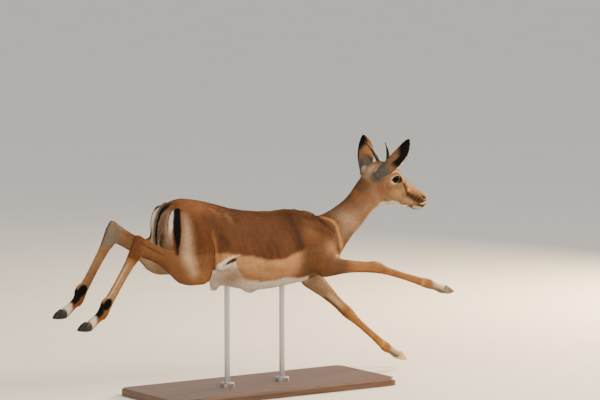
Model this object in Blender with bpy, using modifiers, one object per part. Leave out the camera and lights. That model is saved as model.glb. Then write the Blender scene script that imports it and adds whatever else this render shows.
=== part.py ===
"""Life-size impala, a young male in mid-leap, held over a display base by two rods.

Metres, +Z up, +X the way the animal faces, +Y its left side. The origin is the middle of the underside of the
stand's base. The flesh is modelled as overlapping lofts (trunk, neck, head, limb bones) that are fused into one
skin, and is then parted into named pieces by thin cuts. Ears, eyes, horns and hooves are pieces of their own.
The animal is drawn SET_DOWN higher than it stands, and is lowered over its base once it is whole.
"""
import math
from collections import namedtuple

import bmesh
import bpy
import numpy as np
from mathutils import Matrix, Vector

# ---------------------------------------------------------------- driving dimensions (metres)
LEFT, RIGHT = 1, -1
SIDE_NAME = {LEFT: "left", RIGHT: "right"}

SET_DOWN = 0.060         # how far the finished animal is lowered over the base
GAP = 0.0003             # clearance between pieces that touch
EAR_GAP = 0.0008
TAIL_GAP = 0.0006
HOOF_GAP = 0.0006
CUT = 0.0008             # thickness of the cuts that part the flesh
FLESH_VOXEL = 0.0042     # grain of the fused flesh
EASING = 90              # rounds of easing where the lofts meet
TRIANGLES = {            # each kind of flesh piece, before its sockets are carved
    "trunk": 1650, "neck": 350, "head": 1700, "hind_shank": 210, "hind_cannon": 210,
    "hind_pastern": 150, "forearm": 190, "fore_cannon": 250, "fore_pastern": 150,
}

HIP_Y = 0.052            # the leg joints' distance from the midline
KNEE_Y = 0.086
HOCK_Y = 0.078
HIND_FOOT_Y = 0.075
SHOULDER_Y = 0.056
ELBOW_Y = 0.076
CARPUS_Y = 0.085
FORE_FOOT_Y = 0.100

EYE_CENTRE = (0.5065, 0.0355, 0.7180)
EYE_RADIUS = 0.0165
HORN_ROOT = (0.4870, 0.0215, 0.7620)
HORN_TIP = {LEFT: (0.451, 0.060, 0.838), RIGHT: (0.449, 0.060, 0.844)}
HORN_RADIUS = 0.0088
HORN_OVAL = 0.9          # its width across for its depth
HORN_BOW = 0.006         # how far the horn bows forwards of a straight line
EAR_THICKNESS = 0.0035
CLAW_WIDTH = 0.0165
CLAW_CLEFT = 0.0016      # gap between the two claws of a foot, at the coronet
CLAW_SPREAD = 0.0032     # how much wider the gap is at the toes
CORONET_RADIUS = 0.032   # the cutter that ends the pastern where the hoof begins
CORONET_DEPTH = 0.040

BASE_SIZE = (0.86, 0.34, 0.024)
BASE_CORNER = 0.030
BASE_BEVEL = 0.006
ROD_RADIUS = 0.009
ROD_PLACES = {"front": (0.085, 0.329), "rear": (-0.125, 0.341)}   # x, and the height of the belly over it
ROD_SINK = 0.040         # how far a rod goes into the belly
ROD_CHAMFER = 0.002
COLLAR_RADIUS = 0.022    # the collar at the foot of a rod
COLLAR_HEIGHT = 0.012
SOCKET_DEPTH = 0.100     # the cutter that makes a rod's hole in the belly

# ---------------------------------------------------------------- trunk, neck and head, slice by slice
# A slice runs from a top point to a bottom point in the midline plane; width is its half width across.
# crown narrows the slice towards its top, and keel towards its bottom.
Slice = namedtuple("Slice", "top bottom width crown keel", defaults=(0.0, 0.0))

TRUNK = [
    Slice((-0.356, 0.664), (-0.372, 0.590), 0.044),
    Slice((-0.336, 0.689), (-0.356, 0.535), 0.080, 0.10),
    Slice((-0.298, 0.699), (-0.300, 0.485), 0.098, 0.16),
    Slice((-0.245, 0.692), (-0.238, 0.455), 0.101, 0.16),
    Slice((-0.185, 0.678), (-0.180, 0.424), 0.096, 0.14, 0.10),
    Slice((-0.115, 0.658), (-0.115, 0.400), 0.094, 0.14, 0.06),
    Slice((-0.040, 0.645), (-0.030, 0.386), 0.103, 0.16),
    Slice((0.040, 0.639), (0.045, 0.387), 0.106, 0.20),
    Slice((0.102, 0.643), (0.112, 0.394), 0.101, 0.26, 0.06),
    Slice((0.155, 0.632), (0.162, 0.400), 0.090, 0.30, 0.12),
    Slice((0.205, 0.617), (0.208, 0.412), 0.083, 0.26, 0.16),
    Slice((0.250, 0.602), (0.252, 0.434), 0.072, 0.20, 0.16),
    Slice((0.287, 0.572), (0.290, 0.466), 0.048, 0.10, 0.10),
]
NECK = [
    Slice((0.185, 0.600), (0.240, 0.440), 0.056, 0.25),
    Slice((0.240, 0.616), (0.305, 0.480), 0.052, 0.30),
    Slice((0.290, 0.635), (0.348, 0.530), 0.046, 0.28),
    Slice((0.332, 0.658), (0.396, 0.573), 0.041, 0.22),
    Slice((0.360, 0.683), (0.427, 0.603), 0.040, 0.16),
    Slice((0.386, 0.713), (0.455, 0.622), 0.042, 0.10),
    Slice((0.412, 0.742), (0.480, 0.640), 0.040),
]
SKULL = [
    Slice((0.404, 0.730), (0.432, 0.676), 0.030),
    Slice((0.415, 0.747), (0.462, 0.655), 0.040),
    Slice((0.438, 0.770), (0.490, 0.650), 0.0450, 0.12),
    Slice((0.470, 0.776), (0.515, 0.652), 0.0460, 0.06),
    Slice((0.504, 0.767), (0.537, 0.650), 0.0455, -0.04),
    Slice((0.534, 0.747), (0.559, 0.648), 0.0405, -0.06),
    Slice((0.560, 0.721), (0.577, 0.644), 0.0320, 0.02),
    Slice((0.586, 0.699), (0.594, 0.637), 0.0265, 0.10),
    Slice((0.611, 0.681), (0.612, 0.629), 0.0235, 0.14),
    Slice((0.630, 0.669), (0.629, 0.623), 0.0225, 0.14),
    Slice((0.644, 0.660), (0.643, 0.6215), 0.0205, 0.10),
    Slice((0.6535, 0.650), (0.6525, 0.627), 0.0135),
]
JAW = [
    Slice((0.452, 0.690), (0.462, 0.640), 0.030),
    Slice((0.478, 0.690), (0.482, 0.627), 0.035, 0.0, 0.20),
    Slice((0.510, 0.680), (0.515, 0.623), 0.034, 0.0, 0.30),
    Slice((0.548, 0.660), (0.550, 0.620), 0.028, 0.0, 0.30),
    Slice((0.585, 0.645), (0.586, 0.6160), 0.0215, 0.0, 0.25),
    Slice((0.611, 0.633), (0.609, 0.6100), 0.0175, 0.0, 0.20),
    Slice((0.632, 0.625), (0.629, 0.6072), 0.0150),
    Slice((0.646, 0.619), (0.643, 0.6098), 0.0090),
]
TAIL = [
    Slice((-0.310, 0.686), (-0.316, 0.660), 0.013),
    Slice((-0.350, 0.690), (-0.342, 0.664), 0.0175),
    Slice((-0.382, 0.664), (-0.362, 0.650), 0.0215),
    Slice((-0.398, 0.615), (-0.371, 0.611), 0.0245),
    Slice((-0.400, 0.567), (-0.375, 0.565), 0.0235),
    Slice((-0.393, 0.528), (-0.376, 0.526), 0.0160),
    Slice((-0.387, 0.508), (-0.381, 0.506), 0.0060),
]

# ---------------------------------------------------------------- limbs
# A bone runs from one joint to the next. At share t of its length, front and back are the flesh's reach from the
# bone's line in the leg's own plane, and width is the half width across.
Girth = namedtuple("Girth", "t front back width")

THIGH = [
    Girth(-0.26, 0.030, 0.030, 0.010),
    Girth(-0.12, 0.066, 0.062, 0.030),
    Girth(0.05, 0.078, 0.082, 0.044),
    Girth(0.25, 0.074, 0.094, 0.048),
    Girth(0.50, 0.058, 0.098, 0.046),
    Girth(0.75, 0.046, 0.092, 0.042),
    Girth(1.00, 0.033, 0.075, 0.036),
    Girth(1.14, 0.027, 0.070, 0.031),
    Girth(1.27, 0.008, 0.045, 0.016),
]
GASKIN = [
    Girth(-0.08, 0.040, 0.022, 0.026),
    Girth(0.10, 0.060, 0.040, 0.034),
    Girth(0.28, 0.065, 0.041, 0.035),
    Girth(0.45, 0.049, 0.034, 0.029),
    Girth(0.62, 0.031, 0.027, 0.0205),
    Girth(0.78, 0.026, 0.028, 0.0160),
    Girth(0.92, 0.025, 0.034, 0.0155),
    Girth(1.04, 0.022, 0.040, 0.0155),
    Girth(1.11, 0.004, 0.040, 0.0105),
]
HIND_CANNON = [
    Girth(-0.10, 0.020, 0.022, 0.0150),
    Girth(0.00, 0.027, 0.028, 0.0185),
    Girth(0.10, 0.023, 0.026, 0.0175),
    Girth(0.22, 0.0155, 0.0215, 0.0145),
    Girth(0.42, 0.0130, 0.0190, 0.0122),
    Girth(0.66, 0.0130, 0.0185, 0.0120),
    Girth(0.84, 0.0140, 0.0200, 0.0130),
    Girth(0.97, 0.0170, 0.0200, 0.0160),
    Girth(1.06, 0.0150, 0.0150, 0.0150),
]
PASTERN = [
    Girth(-0.25, 0.0140, 0.0150, 0.0145),
    Girth(0.05, 0.0160, 0.0180, 0.0155),
    Girth(0.40, 0.0135, 0.0150, 0.0145),
    Girth(0.75, 0.0140, 0.0155, 0.0165),
    Girth(1.02, 0.0150, 0.0165, 0.0175),
    Girth(1.14, 0.0120, 0.0130, 0.0150),
]
SHOULDER = [
    Girth(-0.18, 0.020, 0.026, 0.008),
    Girth(0.05, 0.036, 0.046, 0.018),
    Girth(0.35, 0.040, 0.060, 0.024),
    Girth(0.70, 0.038, 0.064, 0.028),
    Girth(1.00, 0.030, 0.056, 0.028),
    Girth(1.12, 0.018, 0.036, 0.020),
]
UPPER_ARM = [
    Girth(-0.15, 0.022, 0.046, 0.020),
    Girth(0.20, 0.032, 0.072, 0.029),
    Girth(0.60, 0.033, 0.066, 0.030),
    Girth(1.00, 0.030, 0.040, 0.026),
    Girth(1.18, 0.020, 0.020, 0.018),
]
FOREARM = [
    Girth(-0.14, 0.018, 0.018, 0.018),
    Girth(0.00, 0.035, 0.036, 0.029),
    Girth(0.20, 0.036, 0.030, 0.028),
    Girth(0.42, 0.0285, 0.0230, 0.0225),
    Girth(0.64, 0.0215, 0.0190, 0.0175),
    Girth(0.84, 0.0190, 0.0185, 0.0165),
    Girth(0.97, 0.0205, 0.0205, 0.0185),
    Girth(1.08, 0.0170, 0.0170, 0.0165),
]
FORE_CANNON = [
    Girth(-0.08, 0.0185, 0.0190, 0.0175),
    Girth(0.04, 0.0190, 0.0200, 0.0180),
    Girth(0.16, 0.0140, 0.0165, 0.0145),
    Girth(0.35, 0.0115, 0.0145, 0.0122),
    Girth(0.65, 0.0115, 0.0145, 0.0118),
    Girth(0.84, 0.0130, 0.0165, 0.0128),
    Girth(0.97, 0.0160, 0.0190, 0.0155),
    Girth(1.06, 0.0140, 0.0150, 0.0145),
]

# Joint places (x, y, z), y outwards from the midline.
HindLeg = namedtuple("HindLeg", "hip knee hock fetlock coronet toe")
ForeLeg = namedtuple("ForeLeg", "withers shoulder elbow carpus fetlock coronet toe")
HIND = {
    RIGHT: HindLeg((-0.268, HIP_Y, 0.640), (-0.272, KNEE_Y, 0.474), (-0.499, HOCK_Y, 0.560),
                   (-0.629, HIND_FOOT_Y, 0.365), (-0.676, HIND_FOOT_Y, 0.331), (-0.718, HIND_FOOT_Y, 0.317)),
    LEFT: HindLeg((-0.268, HIP_Y, 0.642), (-0.274, KNEE_Y, 0.487), (-0.500, HOCK_Y, 0.590),
                  (-0.629, HIND_FOOT_Y, 0.390), (-0.677, HIND_FOOT_Y, 0.354), (-0.719, HIND_FOOT_Y, 0.338)),
}
FORE = {
    RIGHT: ForeLeg((0.140, 0.028, 0.612), (0.228, SHOULDER_Y, 0.535), (0.192, ELBOW_Y, 0.452),
                   (0.397, CARPUS_Y, 0.439), (0.596, FORE_FOOT_Y, 0.373), (0.650, FORE_FOOT_Y + 0.004, 0.352),
                   (0.694, FORE_FOOT_Y + 0.006, 0.342)),
    LEFT: ForeLeg((0.140, 0.028, 0.612), (0.228, SHOULDER_Y, 0.530), (0.238, ELBOW_Y, 0.405),
                  (0.403, CARPUS_Y, 0.270), (0.571, FORE_FOOT_Y, 0.139), (0.616, FORE_FOOT_Y + 0.004, 0.113),
                  (0.655, FORE_FOOT_Y + 0.006, 0.090)),
}

# Where the flesh is parted: a point, the way the cut faces, and its radius.
Cut = namedtuple("Cut", "centre facing radius")

RING = 24        # points round a loft
STEPS = 5        # rings between two given slices
MASS_RINGS = (24, 16)    # segments round and up a muscle's ellipsoid
TAIL_RING, TAIL_STEPS = 12, 2
EYE_RINGS = (14, 9)
HORN_RING, CLAW_RING, ROD_RING = 10, 8, 12
CRUMB = 12       # a loose body with fewer points than this is dropped


# ---------------------------------------------------------------- scene, materials and mesh helpers
def clear_scene():
    for obj in list(bpy.data.objects):
        bpy.data.objects.remove(obj)


def new_collection(name, hidden=False):
    collection = bpy.data.collections.new(name)
    bpy.context.scene.collection.children.link(collection)
    collection.hide_render = hidden
    return collection


def material(name, colour, roughness, metallic=0.0):
    made = bpy.data.materials.new(name)
    made.use_nodes = True
    shader = made.node_tree.nodes["Principled BSDF"]
    shader.inputs["Base Color"].default_value = (*colour, 1.0)
    shader.inputs["Roughness"].default_value = roughness
    shader.inputs["Metallic"].default_value = metallic
    return made


def add_object(name, mesh, collection):
    obj = bpy.data.objects.new(name, mesh)
    collection.objects.link(obj)
    return obj


def baked(obj, name=None):
    """The object's evaluated mesh as a plain mesh, in place of the object and its modifiers."""
    bpy.context.view_layer.update()
    evaluated = obj.evaluated_get(bpy.context.evaluated_depsgraph_get())
    mesh = bpy.data.meshes.new_from_object(evaluated)
    old = obj.data
    obj.modifiers.clear()
    obj.data = mesh
    bpy.data.meshes.remove(old)
    if name:
        obj.name = name
    return obj


def boolean(obj, other, operation="DIFFERENCE"):
    cut = obj.modifiers.new("cut", "BOOLEAN")
    cut.operation = operation
    cut.object = other
    return baked(obj)


def grown(obj, distance, collection):
    """A copy of a piece with its surface moved outwards, as the cutter that leaves a clearance round it."""
    copy = add_object(obj.name + "_clearance", obj.data.copy(), collection)
    swell = copy.modifiers.new("swell", "DISPLACE")
    swell.strength = distance
    swell.mid_level = 0.0
    copy.hide_render = True
    copy.display_type = "WIRE"
    return baked(copy)


# ---------------------------------------------------------------- lofts
def smooth_rows(rows, steps):
    """Rows of numbers with `steps` rows to each gap, on a Catmull-Rom curve through the given ones."""
    rows = np.array(rows, float)
    padded = np.vstack([2 * rows[0] - rows[1], rows, 2 * rows[-1] - rows[-2]])
    out = []
    for i in range(len(rows) - 1):
        p0, p1, p2, p3 = padded[i:i + 4]
        for t in np.arange(steps) / steps:
            out.append(0.5 * (2 * p1 + (p2 - p0) * t + (2 * p0 - 5 * p1 + 4 * p2 - p3) * t ** 2
                              + (3 * p1 - p0 - 3 * p2 + p3) * t ** 3))
    out.append(rows[-1])
    return np.array(out)


def skin_rings(rings, collection, name):
    """A closed mesh through rings of points, with a rounded tip over each end ring."""
    bm = bmesh.new()
    made = [[bm.verts.new(p) for p in ring] for ring in rings]
    count = len(made[0])
    for one, two in zip(made, made[1:]):
        for i in range(count):
            bm.faces.new((one[i], one[(i + 1) % count], two[(i + 1) % count], two[i]))
    for ring in (made[0], made[-1]):
        tip = bm.verts.new(sum((v.co for v in ring), Vector()) / count)
        for i in range(count):
            bm.faces.new((ring[i], ring[(i + 1) % count], tip))
    bmesh.ops.recalc_face_normals(bm, faces=bm.faces)
    mesh = bpy.data.meshes.new(name)
    bm.to_mesh(mesh)
    bm.free()
    return add_object(name, mesh, collection)


def slice_loft(slices, collection, name, steps=STEPS, points=RING):
    """A loft through midline slices."""
    rows = smooth_rows([(*s.top, *s.bottom, s.width, s.crown, s.keel) for s in slices], steps)
    rings = []
    for top_x, top_z, bottom_x, bottom_z, width, crown, keel in rows:
        centre = np.array([(top_x + bottom_x) / 2, 0, (top_z + bottom_z) / 2])
        rise = np.array([(top_x - bottom_x) / 2, 0, (top_z - bottom_z) / 2])
        ring = []
        for i in range(points):
            angle = 2 * math.pi * i / points
            up = math.sin(angle)
            narrow = 1 - crown * max(up, 0) - keel * max(-up, 0)
            ring.append(centre + rise * up + np.array([0, width * narrow * math.cos(angle), 0]))
        rings.append(ring)
    return skin_rings(rings, collection, name)


def bone_loft(start, end, girths, collection, name):
    """A loft round the line between two joints. Back is the side that faces the tail in a standing animal."""
    start, end = Vector(start), Vector(end)
    along = (end - start).normalized()
    across = Vector((0, 1, 0))
    across = (across - along * across.dot(along)).normalized()
    back_way = across.cross(along)
    length = (end - start).length
    rings = []
    for t, front, back, width in smooth_rows(girths, STEPS):
        ring = []
        for i in range(RING):
            angle = 2 * math.pi * i / RING
            reach = math.sin(angle)
            depth = reach * (back if reach > 0 else front)
            ring.append(start + along * (t * length) + back_way * depth + across * (width * math.cos(angle)))
        rings.append(ring)
    return skin_rings(rings, collection, name)


def ellipsoid(name, centre, radii, collection, turn=(0, 0, 0)):
    bm = bmesh.new()
    bmesh.ops.create_uvsphere(bm, u_segments=MASS_RINGS[0], v_segments=MASS_RINGS[1], radius=1.0)
    turned = Matrix.Rotation(turn[2], 4, "Z") @ Matrix.Rotation(turn[1], 4, "Y") @ Matrix.Rotation(turn[0], 4, "X")
    bm.transform(Matrix.Translation(centre) @ turned @ Matrix.Diagonal((*radii, 1)))
    mesh = bpy.data.meshes.new(name)
    bm.to_mesh(mesh)
    bm.free()
    return add_object(name, mesh, collection)


def sided(point, side):
    """A place given for the left side, on either side."""
    return Vector((point[0], point[1] * side, point[2]))


# ---------------------------------------------------------------- the flesh
def flesh_lofts(helpers):
    """Every overlapping solid that the flesh is fused from."""
    made = [
        slice_loft(TRUNK, helpers, "trunk_loft"),
        slice_loft(NECK, helpers, "neck_loft"),
        slice_loft(SKULL, helpers, "skull_loft"),
        slice_loft(JAW, helpers, "jaw_loft"),
    ]
    for side in (LEFT, RIGHT):
        made += head_masses(side, helpers) + trunk_masses(side, helpers)
        made += hind_leg(side, helpers) + fore_leg(side, helpers)
    made.append(ellipsoid("sheath", (-0.043, 0, 0.391), (0.030, 0.012, 0.016), helpers, (0, 0.35, 0)))
    made.append(ellipsoid("scrotum", (-0.172, 0, 0.412), (0.018, 0.018, 0.024), helpers))
    made.append(ellipsoid("brisket", (0.262, 0, 0.470), (0.045, 0.040, 0.045), helpers))
    return made


def head_masses(side, helpers):
    """Brow and orbit, cheek, ear root, nostril wing, lips: what stands out of the head's plain lofts."""
    def mass(name, centre, radii, turn=(0, 0, 0)):
        return ellipsoid(name, sided(centre, side), radii, helpers, turn)
    return [
        mass("orbit", (0.5110, 0.0310, 0.7200), (0.0300, 0.0155, 0.0240), (0, 0.35, 0.10)),
        mass("brow", (0.5090, 0.0345, 0.7390), (0.0280, 0.0105, 0.0095), (0, 0.55, 0)),
        mass("cheekbone", (0.5380, 0.0280, 0.6950), (0.0350, 0.0080, 0.0100), (0, 0.55, 0.25)),
        mass("cheek", (0.4950, 0.0280, 0.6690), (0.0420, 0.0115, 0.0320), (0, 0.45, 0)),
        mass("ear_root", (0.4370, 0.0350, 0.7400), (0.0200, 0.0130, 0.0220), (0, -0.6, 0)),
        mass("nostril_wing", (0.6395, 0.0125, 0.6440), (0.0105, 0.0080, 0.0100), (0, 0.6, 0)),
        mass("upper_lip", (0.6330, 0.0125, 0.6270), (0.0170, 0.0080, 0.0080), (0, 0.10, 0)),
    ]


def trunk_masses(side, helpers):
    """Buttock, loin, flank fold, triceps and chest muscle, which fill out the trunk's plain loft."""
    def mass(name, centre, radii, turn=(0, 0, 0)):
        return ellipsoid(name, sided(centre, side), radii, helpers, turn)
    return [
        mass("buttock", (-0.332, 0.050, 0.600), (0.044, 0.040, 0.080), (0, -0.15, 0)),
        mass("loin", (-0.205, 0.052, 0.605), (0.070, 0.034, 0.055), (0, 0.15, 0)),
        mass("flank_fold", (-0.180, 0.076, 0.510), (0.070, 0.020, 0.040), (0, -0.40, 0)),
        mass("triceps", (0.172, 0.058, 0.500), (0.066, 0.034, 0.066), (0, 0.5, 0)),
        mass("chest_front", (0.248, 0.040, 0.520), (0.042, 0.036, 0.054), (0, -0.3, 0)),
    ]


def leg_points(leg, side):
    return [sided(point, side) for point in leg]


def hind_leg(side, helpers):
    hip, knee, hock, fetlock, coronet, toe = leg_points(HIND[side], side)
    tuft = fetlock + (hock - fetlock) * 0.13
    made = [
        bone_loft(hip, knee, THIGH, helpers, "thigh"),
        bone_loft(knee, hock, GASKIN, helpers, "gaskin"),
        bone_loft(hock, fetlock, HIND_CANNON, helpers, "hind_cannon"),
        bone_loft(fetlock, coronet, PASTERN, helpers, "hind_pastern"),
        ellipsoid("fetlock_tuft", tuft + Vector((-0.0125, side * 0.003, 0.007)), (0.0110, 0.0140, 0.0250), helpers,
                  (0, 0.60, 0)),
    ]
    return made


def fore_leg(side, helpers):
    withers, shoulder, elbow, carpus, fetlock, coronet, toe = leg_points(FORE[side], side)
    return [
        bone_loft(withers, shoulder, SHOULDER, helpers, "shoulder"),
        bone_loft(shoulder, elbow, UPPER_ARM, helpers, "upper_arm"),
        bone_loft(elbow, carpus, FOREARM, helpers, "forearm"),
        bone_loft(carpus, fetlock, FORE_CANNON, helpers, "fore_cannon"),
        bone_loft(fetlock, coronet, PASTERN, helpers, "fore_pastern"),
    ]


def fused(objects, helpers):
    """One closed skin over all the lofts, eased where they meet."""
    joined = bmesh.new()
    for obj in objects:
        joined.from_mesh(obj.data)
        bpy.data.objects.remove(obj)
    mesh = bpy.data.meshes.new("flesh")
    joined.to_mesh(mesh)
    joined.free()
    flesh = add_object("flesh", mesh, helpers)
    remesh = flesh.modifiers.new("fuse", "REMESH")
    remesh.mode = "VOXEL"
    remesh.voxel_size = FLESH_VOXEL
    baked(flesh)
    soft = flesh.vertex_groups.new(name="soft")
    for v in flesh.data.vertices:
        soft.add([v.index], softness(v.co), "REPLACE")
    ease = flesh.modifiers.new("ease", "SMOOTH")
    ease.factor = 0.5
    ease.iterations = EASING
    ease.vertex_group = "soft"
    return baked(flesh)


def ramp(value, low, high):
    """0 at low and below, 1 at high and above."""
    return min(max((value - low) / (high - low), 0.0), 1.0)


def softness(p):
    """How much a point is eased: the trunk most, then the neck, and the head and limbs little."""
    head = ramp(p.x, 0.39, 0.43) * ramp(p.z, 0.58, 0.62)
    neck = ramp(p.x, 0.28, 0.33) * ramp(p.z, 0.48, 0.52)
    fore = ramp(p.x, 0.27, 0.33) * ramp(-p.z, -0.51, -0.47)
    limb = max(fore, ramp(-p.x, 0.375, 0.42), ramp(-p.z, -0.385, -0.355))
    return min(0.9 - 0.85 * head, 0.9 - 0.45 * neck, 0.9 - 0.84 * limb)


# ---------------------------------------------------------------- parting the flesh
def along(one, two, share):
    return one + (two - one) * share


def limb_cuts(side):
    """The cuts across one side's limbs."""
    hip, knee, hock, hind_fetlock = leg_points(HIND[side], side)[:4]
    elbow, carpus, fore_fetlock = leg_points(FORE[side], side)[2:5]
    return [
        Cut(along(knee, hock, 0.50), hock - knee, 0.080),
        Cut(along(hock, hind_fetlock, 0.09), hind_fetlock - hock, 0.045),
        Cut(along(hock, hind_fetlock, 0.93), hind_fetlock - hock, 0.040),
        Cut(along(elbow, carpus, 0.42), carpus - elbow, 0.038),
        Cut(carpus, fore_fetlock - elbow, 0.035),
        Cut(along(carpus, fore_fetlock, 0.92), fore_fetlock - carpus, 0.035),
    ]


def body_cuts():
    return [
        Cut(Vector((0.300, 0, 0.582)), Vector((0.62, 0, 0.78)), 0.100),
        Cut(Vector((0.424, 0, 0.690)), Vector((0.70, 0, 0.48)), 0.080),
    ]


def disc(centre, facing, radius, thickness, helpers):
    """A flat round cutter."""
    bm = bmesh.new()
    bmesh.ops.create_cone(bm, cap_ends=True, segments=24, radius1=radius, radius2=radius, depth=thickness)
    bm.transform(Matrix.Translation(centre) @ facing.to_track_quat("Z", "Y").to_matrix().to_4x4())
    mesh = bpy.data.meshes.new("cutter")
    bm.to_mesh(mesh)
    bm.free()
    return add_object("cutter", mesh, helpers)


def together(objects, helpers):
    """Separate closed bodies as one object."""
    bm = bmesh.new()
    for obj in objects:
        bm.from_mesh(obj.data)
        bpy.data.objects.remove(obj)
    mesh = bpy.data.meshes.new("cutters")
    bm.to_mesh(mesh)
    bm.free()
    return add_object("cutters", mesh, helpers)


def take(obj, cutter):
    boolean(obj, cutter)
    bpy.data.objects.remove(cutter)


def loose_parts(obj, collection):
    """The separate closed bodies of a mesh, as objects of their own; crumbs are dropped."""
    bm = bmesh.new()
    bm.from_mesh(obj.data)
    bmesh.ops.triangulate(bm, faces=bm.faces)
    bm.verts.ensure_lookup_table()
    seen, parts = set(), []
    for start in bm.verts:
        if start.index in seen:
            continue
        seen.add(start.index)
        stack, members = [start], []
        while stack:
            v = stack.pop()
            members.append(v)
            for edge in v.link_edges:
                other = edge.other_vert(v)
                if other.index not in seen:
                    seen.add(other.index)
                    stack.append(other)
        if len(members) < CRUMB:
            continue
        number = {v.index: i for i, v in enumerate(members)}
        faces = {f for v in members for f in v.link_faces}
        mesh = bpy.data.meshes.new("piece")
        mesh.from_pydata([v.co[:] for v in members], [], [[number[v.index] for v in f.verts] for f in faces])
        parts.append(add_object("piece", mesh, collection))
    bm.free()
    return parts


def thinned(obj, triangles):
    """The piece with its faces collapsed to about so many triangles."""
    thin = obj.modifiers.new("thin", "DECIMATE")
    thin.ratio = min(1.0, triangles / sum(len(f.vertices) - 2 for f in obj.data.polygons))
    thin.use_collapse_triangulate = True
    return baked(obj)


def middle(obj):
    return sum((v.co for v in obj.data.vertices), Vector()) / len(obj.data.vertices)


def flesh_seeds():
    """A point near the middle of every flesh piece, by the piece's name."""
    seeds = {
        "trunk": Vector((-0.05, 0, 0.53)), "neck": Vector((0.355, 0, 0.63)),
        "head": Vector((0.54, 0, 0.69)),
    }
    for side in (LEFT, RIGHT):
        hip, knee, hock, hind_fetlock, hind_coronet, toe = leg_points(HIND[side], side)
        elbow, carpus, fore_fetlock, fore_coronet = leg_points(FORE[side], side)[2:6]
        for name, one, two, share in [
            ("hind_shank", knee, hock, 0.8), ("hind_cannon", hock, hind_fetlock, 0.5),
            ("hind_pastern", hind_fetlock, hind_coronet, 0.5), ("forearm", elbow, carpus, 0.7),
            ("fore_cannon", carpus, fore_fetlock, 0.5), ("fore_pastern", fore_fetlock, fore_coronet, 0.5),
        ]:
            seeds[name + "_" + SIDE_NAME[side]] = along(one, two, share)
    return seeds


# ---------------------------------------------------------------- ears, eyes, horns, hooves
# A row of an ear: share of the way from root to tip, half width, how far it is curled round, bow forwards,
# and how far the row moves outwards of the straight line (as a share of the ear's sway).
EarRow = namedtuple("EarRow", "t width curl bow sway")
EAR_ROWS = [
    EarRow(-0.06, 0.0135, 1.85, 0.000, 0.0), EarRow(0.08, 0.0170, 1.80, 0.003, 0.2),
    EarRow(0.22, 0.0225, 1.60, 0.006, 0.6), EarRow(0.38, 0.0280, 1.25, 0.008, 0.9),
    EarRow(0.54, 0.0300, 1.05, 0.009, 1.0), EarRow(0.70, 0.0270, 0.95, 0.008, 0.9),
    EarRow(0.83, 0.0210, 0.85, 0.005, 0.6), EarRow(0.93, 0.0125, 0.80, 0.002, 0.3),
    EarRow(1.00, 0.0035, 0.80, 0.000, 0.0),
]
EAR_COLUMNS = 9
# Each ear's root and tip (y outwards), the way its hollow side faces, and its sway.
Ear = namedtuple("Ear", "root tip opening sway")
EARS = {
    RIGHT: Ear((0.4290, 0.0450, 0.7370), (0.4995, 0.1245, 0.8530), (0.93, -0.10, -0.20), 0.004),
    LEFT: Ear((0.4400, 0.0450, 0.7390), (0.4890, 0.1200, 0.8505), (0.75, 0.45, -0.20), 0.0),
}


def ear(side, collection):
    root, tip = sided(EARS[side].root, side), sided(EARS[side].tip, side)
    axis = (tip - root).normalized()
    opening = Vector(EARS[side].opening)
    opening.y *= side
    opening = (opening - axis * opening.dot(axis)).normalized()
    across = axis.cross(opening)
    length = (tip - root).length
    bm = bmesh.new()
    grid = []
    outwards = across if across.y * side > 0 else -across
    for t, width, curl, bow, sway in EAR_ROWS:
        radius = width / math.sin(min(curl, math.pi / 2))
        spine = root + axis * (t * length) + opening * (bow - radius * (1 - math.cos(curl)) * 0.5)
        spine += outwards * (sway * EARS[side].sway)
        row = []
        for i in range(EAR_COLUMNS):
            angle = curl * (2 * i / (EAR_COLUMNS - 1) - 1)
            row.append(bm.verts.new(
                spine + across * (radius * math.sin(angle)) + opening * (radius * (1 - math.cos(angle)))))
        grid.append(row)
    for one, two in zip(grid, grid[1:]):
        for i in range(EAR_COLUMNS - 1):
            bm.faces.new((one[i], one[i + 1], two[i + 1], two[i]))
    mesh = bpy.data.meshes.new("ear")
    bm.to_mesh(mesh)
    bm.free()
    made = add_object("ear_" + SIDE_NAME[side], mesh, collection)
    thick = made.modifiers.new("thickness", "SOLIDIFY")
    thick.thickness = EAR_THICKNESS
    thick.offset = 0.0
    return baked(made)


def eye(side, collection):
    bm = bmesh.new()
    bmesh.ops.create_uvsphere(bm, u_segments=EYE_RINGS[0], v_segments=EYE_RINGS[1], radius=EYE_RADIUS)
    bm.transform(Matrix.Translation(sided(EYE_CENTRE, side)) @ Matrix.Rotation(math.pi / 2, 4, "X"))
    mesh = bpy.data.meshes.new("eye")
    bm.to_mesh(mesh)
    bm.free()
    return add_object("eye_" + SIDE_NAME[side], mesh, collection)


def horn(side, collection):
    """A short spike, straight but for a slight bow."""
    root, tip = sided(HORN_ROOT, side), sided(HORN_TIP[side], side)
    axis = tip - root
    forward = Vector((1, 0, 0))
    forward = (forward - axis * forward.dot(axis) / axis.length_squared).normalized()
    across = axis.normalized().cross(forward)
    rings = []
    for t in (-0.08, 0.1, 0.35, 0.6, 0.84, 1.0):
        radius = HORN_RADIUS * (1 - 0.86 * max(t, 0) ** 1.25)
        centre = root + axis * t + forward * (HORN_BOW * 4 * max(t, 0) * (1 - t))
        rings.append([centre + forward * (radius * math.cos(a)) + across * (radius * HORN_OVAL * math.sin(a))
                      for a in (2 * math.pi * i / HORN_RING for i in range(HORN_RING))])
    return skin_rings(rings, collection, "horn_" + SIDE_NAME[side])


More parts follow.
